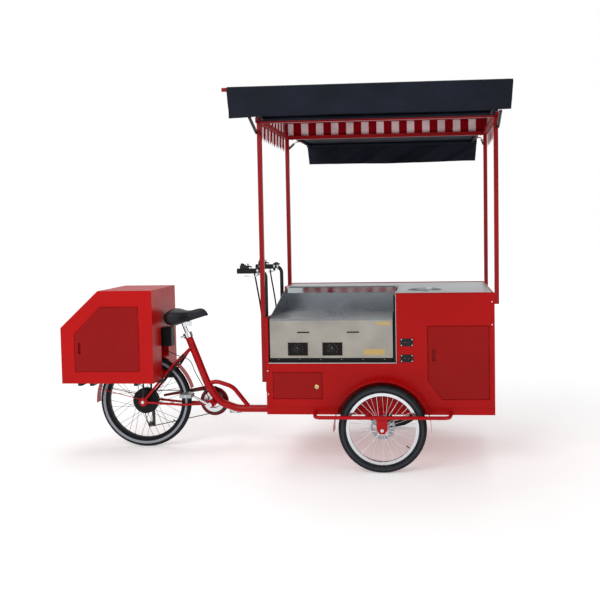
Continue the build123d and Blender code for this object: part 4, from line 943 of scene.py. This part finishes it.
def makeGriddle():
    low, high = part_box("griddle_body")
    plateLow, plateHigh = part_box("griddle_plate")
    y = low[1]
    z0, z1 = griddle["windowLow"], griddle["windowHigh"]
    half, lip = griddle["windowHalf"], griddle["lip"]

    def lips(bm):
        for offset in griddle["windowCentres"]:
            x = low[0] + offset
            for a, b, c, d in ((x - half - lip, x + half + lip, z1, z1 + lip),
                               (x - half - lip, x + half + lip, z0 - lip, z0),
                               (x - half - lip, x - half, z0, z1), (x + half, x + half + lip, z0, z1)):
                addBox(bm, (a, y - 0.0016, c), (b, y + 0.001, d))
        # folded edge of the front plate, and rivets along it
        addBox(bm, (low[0], y - 0.0014, high[2] - 0.013), (high[0], y + 0.001, high[2] - 0.0115))
        for i in range(6):
            x = low[0] + 0.05 + (high[0] - low[0] - 0.1) * i / 5
            addLathe(bm, (x, y, low[2] + 0.018), (0, -1, 0),
                     [(0.0028, -0.0004), (0.0026, 0.0008), (0.001, 0.0014)], 10)

    def windows(bm):
        for offset in griddle["windowCentres"]:
            x = low[0] + offset
            addBox(bm, (x - half, y - 0.0007, z0), (x + half, y + 0.001, z1))

    def slots(bm):
        # dark strips on the front plate: painted shade standing in for the slot openings
        for offset in griddle["slotCentres"]:
            x = low[0] + offset
            addBox(bm, (x - griddle["slotHalf"], y - 0.0007, griddle["slotZ"] - 0.004),
                   (x + griddle["slotHalf"], y + 0.001, griddle["slotZ"] + 0.004))

    def knobs(bm):
        for offset in griddle["windowCentres"]:
            x = low[0] + offset
            addLathe(bm, (x, y, 0.711), (0, -1, 0),
                     [(0.025, 0.0), (0.025, 0.003), (0.0205, 0.0042), (0.0195, 0.014),
                                                   (0.0175, 0.017), (0.002, 0.017)], 32)
            for k in range(18):
                turn = 2 * math.pi * k / 18
                place = (Matrix.Translation((x, y - 0.009, 0.711)) @ Matrix.Rotation(turn, 4, "Y")
                         @ Matrix.Translation((0, 0, 0.0202)) @ Matrix.Diagonal((0.0022, 0.010, 0.0014, 1)))
                bmesh.ops.create_cube(bm, size=1.0, matrix=place)
            addBox(bm, (x - 0.003, y - 0.0215, 0.694), (x + 0.003, y - 0.0165, 0.729))

    def pointers(bm):
        for offset in griddle["windowCentres"]:
            x = low[0] + offset
            addBox(bm, (x - 0.0006, y - 0.022, 0.718), (x + 0.0006, y - 0.0214, 0.7285))
            for k in range(9):
                turn = math.radians(-120 + 30 * k)
                place = (Matrix.Translation((x, y - 0.001, 0.711)) @ Matrix.Rotation(turn, 4, "Y")
                         @ Matrix.Translation((0, 0, 0.031)) @ Matrix.Diagonal((0.0011, 0.0008, 0.0035, 1)))
                bmesh.ops.create_cube(bm, size=1.0, matrix=place)

    def ratings(bm):
        for xs, zs in ((griddle["plateX"], griddle["plateZ"]),
                       (griddle["smallPlateX"], griddle["smallPlateZ"])):
            addBox(bm, (low[0] + xs[0], y - 0.0009, zs[0]), (low[0] + xs[1], y + 0.001, zs[1]))

    def flue(bm):
        # polished cover sloping forward from the top of the splash wall
        top, back = cabinetTop - 0.0075, plateHigh[1] - 0.003
        front, bottom = back - griddle["flueDepth"], top - griddle["flueHeight"]
        x0, x1 = plateLow[0] + 0.0025, plateHigh[0] - 0.0025
        ring = [(front, bottom), (back, bottom), (back, top), (back - 0.004, top)]
        left = [bm.verts.new((x0, a, b)) for a, b in ring]
        right = [bm.verts.new((x1, a, b)) for a, b in ring]
        bm.faces.new(left)
        bm.faces.new(list(reversed(right)))
        for i in range(4):
            j = (i + 1) % 4
            bm.faces.new((left[i], left[j], right[j], right[i]))

    def vents(bm):
        # dark boxes under the cover: painted shade standing in for the vent openings
        y0 = plateHigh[1] - 0.0015
        for i in range(griddle["ventCount"]):
            x = plateLow[0] + 0.016 + (plateHigh[0] - plateLow[0] - 0.032) * i / (griddle["ventCount"] - 1)
            addBox(bm, (x - 0.0028, y0 - 0.004, cabinetTop - 0.0078),
                   (x + 0.0028, y0 + 0.0185, cabinetTop - 0.0012))

    def flueTop(bm):
        addBox(bm, (plateLow[0], plateHigh[1] - 0.006, cabinetTop - 0.0095),
               (plateHigh[0], plateHigh[1] + 0.0175,
                                                                              cabinetTop - 0.0072))
    makePiece("frontPlateEdges", "cart", steelFront, lips, 0)
    makePiece("controlWindows", "cart", windowEnamelAndHoleShade, windows, 0)
    makePiece("frontSlots", "cart", windowEnamelAndHoleShade, slots, 0)
    makePiece("griddleKnobs", "cart", blackPlastic, knobs)
    makePiece("knobMarks", "cart", whiteMark, pointers, 0)
    makePiece("blankPlates", "cart", ratingPlate, ratings, 0)
    makePiece("flueCover", "cart", polishedSteel, flue, 0)
    makePiece("flueVents", "cart", windowEnamelAndHoleShade, vents, 0)
    makePiece("flueTop", "cart", steelPlate, flueTop, 0)


bay = {"kickHeight": 0.031}


def makeBayTrim():
    shelfLow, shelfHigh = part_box("griddle_shelf")
    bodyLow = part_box("griddle_body")[0]
    floor = shelfHigh[2]

    def kick(bm):
        # black skirt in front of the feet and liners up both jambs
        addBox(bm, (shelfLow[0] + 0.0006, bodyLow[1] + 0.004, floor + 0.0003),
               (shelfHigh[0] - 0.0006, bodyLow[1] + 0.006, floor + bay["kickHeight"]))
        addBox(bm, (shelfHigh[0] - 0.0125, nearFace + 0.0155, floor + 0.0003),
               (shelfHigh[0] - 0.0006, nearFace + 0.40, cabinetTop - 0.0205))
        addBox(bm, (shelfLow[0] + 0.0004, nearFace + 0.0155, floor + 0.0003),
               (shelfLow[0] + 0.0024, nearFace + 0.10, 0.894))

    def ledge(bm):
        addBox(bm, (shelfLow[0] + 0.0004, nearFace - 0.001, floor - 0.003),
               (shelfHigh[0] - 0.0004, nearFace + 0.0152, floor + 0.0006))
        addBox(bm, (shelfHigh[0] - 0.0016, nearFace - 0.001, floor),
               (shelfHigh[0] + 0.0006, nearFace + 0.0152,
                                                                     cabinetTop - 0.001))

    def seal(bm):
        path = smoothPath([(shelfHigh[0] - 0.010, nearFace + 0.003, cabinetTop - 0.004),
                           (shelfHigh[0] - 0.010, nearFace + 0.003, floor + 0.02),
                           (shelfHigh[0] - 0.014, nearFace + 0.003, floor + 0.006),
                           (shelfHigh[0] - 0.03, nearFace + 0.003, floor + 0.0045),
                           (shelfLow[0] + 0.006, nearFace + 0.003, floor + 0.0045)], 6)
        addTube(bm, path, 0.0036, 8)
    makePiece("bayLiner", "cart", sealRubber, kick, 0)
    makePiece("ledgeTrim", "cart", steelPlate, ledge, 0)
    makePiece("baySeal", "cart", sealRubber, seal)


def makeSockets():
    low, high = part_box("socket_plates")
    middle = (low[0] + high[0]) / 2
    y = low[1]

    def faces(bm):
        for z in (0.658, 0.752):
            addBox(bm, (middle - 0.0225, y - 0.0016, z - 0.0135), (middle + 0.0225, y + 0.001, z + 0.0135))
            for dx in (-0.011, 0.011):
                addLathe(bm, (middle + dx, y - 0.0016, z), (0, -1, 0),
                         [(0.0088, 0), (0.0088, 0.0022), (0.0068, 0.0024), (0.0066, 0.0006),
                          (0.0005, 0.0006)], 20)

    def screws(bm):
        for z in (0.658, 0.752):
            for dx in (-0.031, 0.031):
                for dz in (-0.0165, 0.0165):
                    addScrew(bm, (middle + dx, y, z + dz), (0, -1, 0), 0.0032)
            for dx in (-0.0135, -0.0085, 0.0085, 0.0135):
                addLathe(bm, (middle + dx, y - 0.0016, z), (0, -1, 0),
                         [(0.0009, 0), (0.0009, 0.002), (0.0003, 0.0022)], 8)
    makePiece("socketFaces", "cart", blackPlastic, faces)
    makePiece("socketScrews", "cart", chromePlate, screws)


sinkFittings = {"drain": 0.024}


def makeSinkFittings():
    low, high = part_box("sink")
    middle = ((low[0] + high[0]) / 2, (low[1] + high[1]) / 2)
    rim = (high[0] - low[0]) / 2

    def build(bm):
        addLathe(bm, (middle[0], middle[1], low[2] + 0.002), (0, 0, 1),
                 [(sinkFittings["drain"], 0), (sinkFittings["drain"], 0.0012),
                  (sinkFittings["drain"] * 0.8, 0.002),
                  (sinkFittings["drain"] * 0.72, 0.0008), (0.0006, 0.0008)], 28)
        ring = [(middle[0] + (rim - 0.006) * math.cos(t), middle[1] + (rim - 0.006) * math.sin(t),
                 cabinetTop + 0.0008)
                for t in (2 * math.pi * i / 64 for i in range(65))]
        addTube(bm, ring, 0.0026, 8)
    makePiece("sinkRing", "cart", polishedSteel, build)

    def strainer(bm):
        # dark dots in the drain: painted shade standing in for the strainer holes
        for i in range(8):
            t = 2 * math.pi * i / 8
            addLathe(bm, (middle[0] + 0.011 * math.cos(t), middle[1] + 0.011 * math.sin(t), low[2] + 0.0028),
                     (0, 0, 1),
                     [(0.0022, 0), (0.0022, 0.0006), (0.0006, 0.0006)], 8)
    makePiece("sinkStrainer", "cart", windowEnamelAndHoleShade, strainer)


worktopTrim = {"lip": 0.0025, "thickness": 0.0018}


def makeWorktopTrim():
    # folded steel upstand between counter and bay, and rolled red edging of the panels
    low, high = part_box("worktop")
    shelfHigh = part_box("griddle_shelf")[1]
    t = worktopTrim["thickness"]

    def steel(bm):
        addBox(bm, (shelfHigh[0] - t, nearFace + 0.0152, cabinetTop - 0.0005),
               (shelfHigh[0] + 0.010, high[1] - 0.28, cabinetTop + worktopTrim["lip"]))
        addBox(bm, (low[0] + 0.02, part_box("griddle_plate")[1][1] + 0.019, cabinetTop - 0.0005),
               (shelfHigh[0] + 0.010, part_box("griddle_plate")[1][1] + 0.029, cabinetTop + worktopTrim["lip"]))

    def edging(bm):
        y = nearFace + 0.0075
        addTube(bm, [(shelfHigh[0] + 0.001, y, cabinetTop), (cabinetHigh[0] - 0.004, y, cabinetTop)], 0.0048,
                8)
        addTube(bm, [(cabinetHigh[0] - 0.0075, nearFace + 0.004, cabinetTop),
                     (cabinetHigh[0] - 0.0075, -nearFace - 0.004, cabinetTop)], 0.0048, 8)
        addTube(bm, [(cabinetLow[0] + 0.004, -y, cabinetTop), (cabinetHigh[0] - 0.004, -y, cabinetTop)],
                0.0048, 8)
    makePiece("counterUpstand", "cart", steelPlate, steel, 0)
    makePiece("panelEdging", "cart", paints["frame"], edging)


makeGriddle()
makeBayTrim()
makeSockets()
makeSinkFittings()
makeWorktopTrim()
print("griddle and counter fitted")


# handlebar: brake levers, clamps, shifter, grip ribs and cable glands
bar = {"gripOuter": 0.0175}


def gripSpots():
    low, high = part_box("grips")
    return low, high, (low[2] + high[2]) / 2


def makeHandlebarTrim():
    low, high, z = gripSpots()
    for side in (-1, 1):
        y = (low[1] if side < 0 else high[1]) - side * (bar["gripOuter"] - 0.0015)
        tag = "near" if side < 0 else "far"

        def ribs(bm):
            count = 13
            for i in range(count):
                x = low[0] + 0.012 + (high[0] - low[0] - 0.024) * i / (count - 1)
                addLathe(bm, (x - 0.0018, y, z), (1, 0, 0),
                         [(0.0155, 0), (0.0168, 0.0009), (0.0168, 0.0027), (0.0155, 0.0036)], 20)
            addLathe(bm, (low[0] + 0.0004, y, z), (1, 0, 0),
                     [(0.004, 0.0), (0.017, 0.0006), (0.0178, 0.003), (0.0155, 0.006)], 20)

        def clamp(bm):
            for x in (high[0] + 0.010, high[0] + 0.034):
                addLathe(bm, (x - 0.0065, y, z), (1, 0, 0),
                         [(0.0152, 0), (0.0164, 0.001), (0.0164, 0.012), (0.0152, 0.013)], 22)
                addBox(bm, (x - 0.0055, y - 0.0065, z - 0.0225), (x + 0.0055, y + 0.0065, z - 0.011))

        def lever(bm):
            # lever blade: leaves its pivot under the clamp and runs back below the grip
            x = high[0] + 0.018
            path = smoothPath([(x, y - side * 0.004, z - 0.022), (x - 0.02, y - side * 0.016, z - 0.031),
                               (x - 0.055, y - side * 0.022, z - 0.034),
                               (x - 0.098, y - side * 0.020, z - 0.031)], 6)
            addTube(bm, path, 0.0048, 10)

        def body(bm):
            x = high[0] + 0.022
            addBox(bm, (x - 0.019, y - 0.011, z + 0.0125), (x + 0.017, y + 0.011, z + 0.023))
            addLathe(bm, (x + 0.001, y, z + 0.0225), (0, 0, 1),
                     [(0.0125, 0), (0.0125, 0.004), (0.010, 0.006), (0.003, 0.0068)], 24)
            addLathe(bm, (x - 0.012, y - side * 0.010, z - 0.012), (0, 0, -1),
                     [(0.007, 0), (0.0075, 0.010), (0.005, 0.013)], 16)
            addTube(bm, [(x + 0.012, y, z + 0.018), (x + 0.028, y, z + 0.017)], 0.0036, 10)

        def silver(bm):
            x = high[0] + 0.022
            addLathe(bm, (x + 0.001, y, z + 0.0288), (0, 0, 1),
                     [(0.0088, 0), (0.0088, 0.0014), (0.006, 0.0024), (0.0006, 0.0026)], 24)
            addScrew(bm, (x - 0.008, y - 0.0065, z - 0.017), (0, -1, 0), 0.003)
            addScrew(bm, (x + 0.012, y - 0.0065, z - 0.017), (0, -1, 0), 0.003)
        def cluster(bm):
            # the battery gauge and its shifter standing over the grip
            x = low[0] + 0.045
            addBox(bm, (x - 0.026, y - 0.012, z + 0.0155), (x + 0.026, y + 0.012, z + 0.036))
            addLathe(bm, (x - 0.012, y, z + 0.0355), (0.25, 0, 1),
                     [(0.012, 0), (0.0125, 0.006), (0.009, 0.011), (0.002, 0.012)], 22)
            addTube(bm, [(x + 0.020, y, z + 0.030), (x + 0.046, y - side * 0.004, z + 0.024)], 0.0045, 10)

        def bell(bm):
            x = low[0] + 0.062
            addLathe(bm, (x, y, z + 0.0355), (0.2, 0, 1),
                     [(0.0135, 0), (0.0132, 0.004), (0.011, 0.0085), (0.0065, 0.0115),
                                                          (0.0006, 0.0124)], 26)
        makePiece(f"gaugeBody_{tag}", "cart", blackPlastic, cluster)
        makePiece(f"bell_{tag}", "cart", chromePlate, bell)
        makePiece(f"gripRibs_{tag}", "cart", gripRubber, ribs)
        makePiece(f"leverClamps_{tag}", "cart", discSteel, clamp)
        makePiece(f"brakeLever_{tag}", "cart", alloy, lever)
        makePiece(f"shifterBody_{tag}", "cart", blackPlastic, body)
        makePiece(f"shifterCap_{tag}", "cart", chromePlate, silver)


def makeCableGlands():
    low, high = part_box("control_cables")

    def build(bm):
        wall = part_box("rear_panel")[0][0]
        for side in (-1, 1):
            y = (low[1] + 0.005) if side < 0 else (high[1] - 0.005)
            addLathe(bm, (wall + 0.0004, y, low[2] + 0.005), (-1, 0, 0),
                     [(0.013, 0), (0.013, 0.004), (0.0085, 0.0055), (0.0085, 0.012), (0.0062, 0.014)], 20)
    makePiece("cableGlands", "cart", blackPlastic, build)


makeHandlebarTrim()
makeCableGlands()
print("handlebar fitted")


# wheels: valves, brake bolts and calipers
wheelTrim = {"rotorBolts": 6}


def wheelCentre(name):
    low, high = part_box(name)
    return [(a + b) / 2 for a, b in zip(low, high)], (high[2] - low[2]) / 2


def makeValve(tyre, body, tag):
    centre, outer = wheelCentre(tyre)
    section = (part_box(tyre)[1][1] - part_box(tyre)[0][1]) / 2
    rimInner = outer - 2 * section - 0.002

    def valve(bm):
        out = Vector((math.sin(2.2), 0, math.cos(2.2)))
        base = Vector(centre) + out * (rimInner - 0.012)
        addLathe(bm, base + out * -0.022, out,
                 [(0.0022, 0), (0.0033, 0.002), (0.0033, 0.012), (0.0028, 0.014), (0.0028, 0.03)], 12)
    makePiece(f"valve_{tag}", body, blackPlastic, valve)


def makeDisc(disc, wheelBody, carrier, tag):
    centre, radius = wheelCentre(disc)
    low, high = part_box(disc)
    inner = 1 if centre[1] < 0 else -1

    def bolts(bm):
        for i in range(wheelTrim["rotorBolts"]):
            turn = 2 * math.pi * (i + 0.3) / wheelTrim["rotorBolts"]
            place = (centre[0] + 0.022 * math.cos(turn), centre[1] - inner * (high[1] - low[1]) / 2,
                     centre[2] + 0.022 * math.sin(turn))
            addScrew(bm, place, (0, -inner, 0), 0.004)
    makePiece(f"discBolts_{tag}", wheelBody, chromePlate, bolts)

    def caliper(bm):
        # straddles the disc above and behind the axle
        for side in (-1, 1):
            # slim on the spokes' side
            thick = 0.0172 if side == inner else 0.0058
            y0, y1 = sorted((centre[1] + side * 0.0032, centre[1] + side * thick))
            turn = math.radians(128)
            place = (Matrix.Translation((centre[0], (y0 + y1) / 2,
                                         centre[2])) @ Matrix.Rotation(turn - math.pi / 2, 4, "Y")
                     @ Matrix.Translation((0, 0, radius - 0.004)) @ Matrix.Diagonal((0.052, y1 - y0, 0.030,
                                                                                     1)))
            bmesh.ops.create_cube(bm, size=1.0, matrix=place)
        place = (Matrix.Translation((centre[0], centre[1] + inner * 0.0057, centre[2]))
                 @ Matrix.Rotation(math.radians(38), 4, "Y") @ Matrix.Translation((0, 0, radius + 0.009))
                 @ Matrix.Diagonal((0.040, 0.0230, 0.010, 1)))
        bmesh.ops.create_cube(bm, size=1.0, matrix=place)
        bmesh.ops.bevel(bm, geom=bm.edges[:], offset=0.0022, segments=2, affect="EDGES", profile=0.6)
    makePiece(f"caliper_{tag}", carrier, paints["motor"], caliper)


for side in ("right", "left"):
    makeValve(f"front_tyre_{side}", f"front_wheel_{side}", side)
    makeDisc(f"brake_disc_{side}", f"front_wheel_{side}", "cart", side)
makeValve("rear_tyre", "rear_wheel", "rear")
print("wheels fitted")


# camera, floor and light
cartMiddle = (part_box("front_axles")[0][0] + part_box("front_axles")[1][0]) / 2
cameraAt = {
    "x": cartMiddle + 0.2946, "y": -5.2583, "z": 1.4359, "yaw": 0.0855, "pitch": 0.0575, "roll": 0.0153,
    "lens": 49.56, "shiftX": -0.1022, "shiftY": -0.0453,
}


def makeCamera():
    yaw, pitch, roll = cameraAt["yaw"], cameraAt["pitch"], cameraAt["roll"]
    ahead = Vector((-math.sin(yaw) * math.cos(pitch), math.cos(yaw) * math.cos(pitch), -math.sin(pitch)))
    right = Vector((math.cos(yaw), math.sin(yaw), 0))
    up = right.cross(ahead)
    turn = Matrix((right * math.cos(roll) - up * math.sin(roll), right * math.sin(roll) + up * math.cos(roll),
                   -ahead)).transposed()
    data = bpy.data.cameras.new("viewCamera")
    data.sensor_width = 36.0
    data.lens = cameraAt["lens"]
    data.shift_x = cameraAt["shiftX"]
    data.shift_y = cameraAt["shiftY"]
    camera = bpy.data.objects.new("viewCamera", data)
    camera.matrix_world = Matrix.Translation((cameraAt["x"], cameraAt["y"], cameraAt["z"])) @ turn.to_4x4()
    bpy.context.collection.objects.link(camera)
    bpy.context.scene.camera = camera


def makeLight(name, place, target, power, size):
    data = bpy.data.lights.new(name, "AREA")
    data.energy = power
    data.size = size
    lamp = bpy.data.objects.new(name, data)
    lamp.location = place
    lamp.rotation_euler = (Vector(target) - Vector(place)).to_track_quat("-Z", "Y").to_euler()
    bpy.context.collection.objects.link(lamp)


studio = {"floor": "#FAFAFA", "glowNear": 0.3, "glowFar": 0.66, "backdrop": 1.0,
          "ambient": 0.42, "mirrored": 0.75, "key": 185, "fill": 65, "top": 120}


def makeStudio():
    bm = bmesh.new()
    bmesh.ops.create_grid(bm, x_segments=1, y_segments=1, size=30.0)
    mesh = bpy.data.meshes.new("studioFloor")
    bm.to_mesh(mesh)
    bm.free()
    floor = bpy.data.objects.new("studioFloor", mesh)
    floor.location = (0, 0, -0.0005)
    bpy.context.collection.objects.link(floor)
    # the floor is pale and also glows: painted light in its emission, dimmer near the cart and brighter further
    # off, which also lights the cart
    material, tree, shader, place = newMaterial("paleFloorPaintedGlow", 0.9, Specular_IOR_Level=0.1,
                                                Emission_Color=toLinear("#FFFFFF"))
    away = addNode(tree, "ShaderNodeVectorMath", {"operation": "LENGTH"}, {0: place})
    glow = addNode(tree, "ShaderNodeMapRange",
                   {"From Min": 2.5, "From Max": 8.0, "To Min": studio["glowNear"],
                                                "To Max": studio["glowFar"]},
                   {"Value": away.outputs["Value"]})
    tree.links.new(glow.outputs["Result"], shader.inputs["Emission Strength"])
    speck = addNode(tree, "ShaderNodeTexNoise", {"Scale": 3.0, "Detail": 2.0}, {"Vector": place})
    colour = addRamp(tree, speck.outputs["Fac"], 0.3, 0.7, toLinear("#F6F6F6"), toLinear(studio["floor"]))
    tree.links.new(colour, shader.inputs["Base Color"])
    mesh.materials.append(material)
    # the sky is a white backdrop to the eye, and a softer light on the object
    world = bpy.data.worlds.new("studioSky")
    bpy.context.scene.world = world
    world.use_nodes = True
    tree = world.node_tree
    path = addNode(tree, "ShaderNodeLightPath")
    soft = addNode(tree, "ShaderNodeMapRange", {"To Min": studio["ambient"], "To Max": studio["mirrored"]},
                   {"Value": path.outputs["Is Glossy Ray"]})
    strength = addNode(tree, "ShaderNodeMapRange", {"To Max": studio["backdrop"]},
                       {"Value": path.outputs["Is Camera Ray"], "To Min": soft.outputs["Result"]})
    back = tree.nodes["Background"]
    back.inputs["Color"].default_value = (1, 1, 1, 1)
    tree.links.new(strength.outputs["Result"], back.inputs["Strength"])
    makeLight("keySoftbox", (-2.5, -5.5, 4.2), (0, 0, 0.9), studio["key"], 4.0)
    makeLight("fillSoftbox", (4.0, -4.5, 2.4), (0, 0, 0.9), studio["fill"], 3.5)
    makeLight("topSoftbox", (0, 1.5, 5.5), (0, 0, 1.0), studio["top"], 5.0)
    bpy.context.scene.view_settings.view_transform = "Standard"


makeCamera()
makeStudio()
print("camera and light ready")
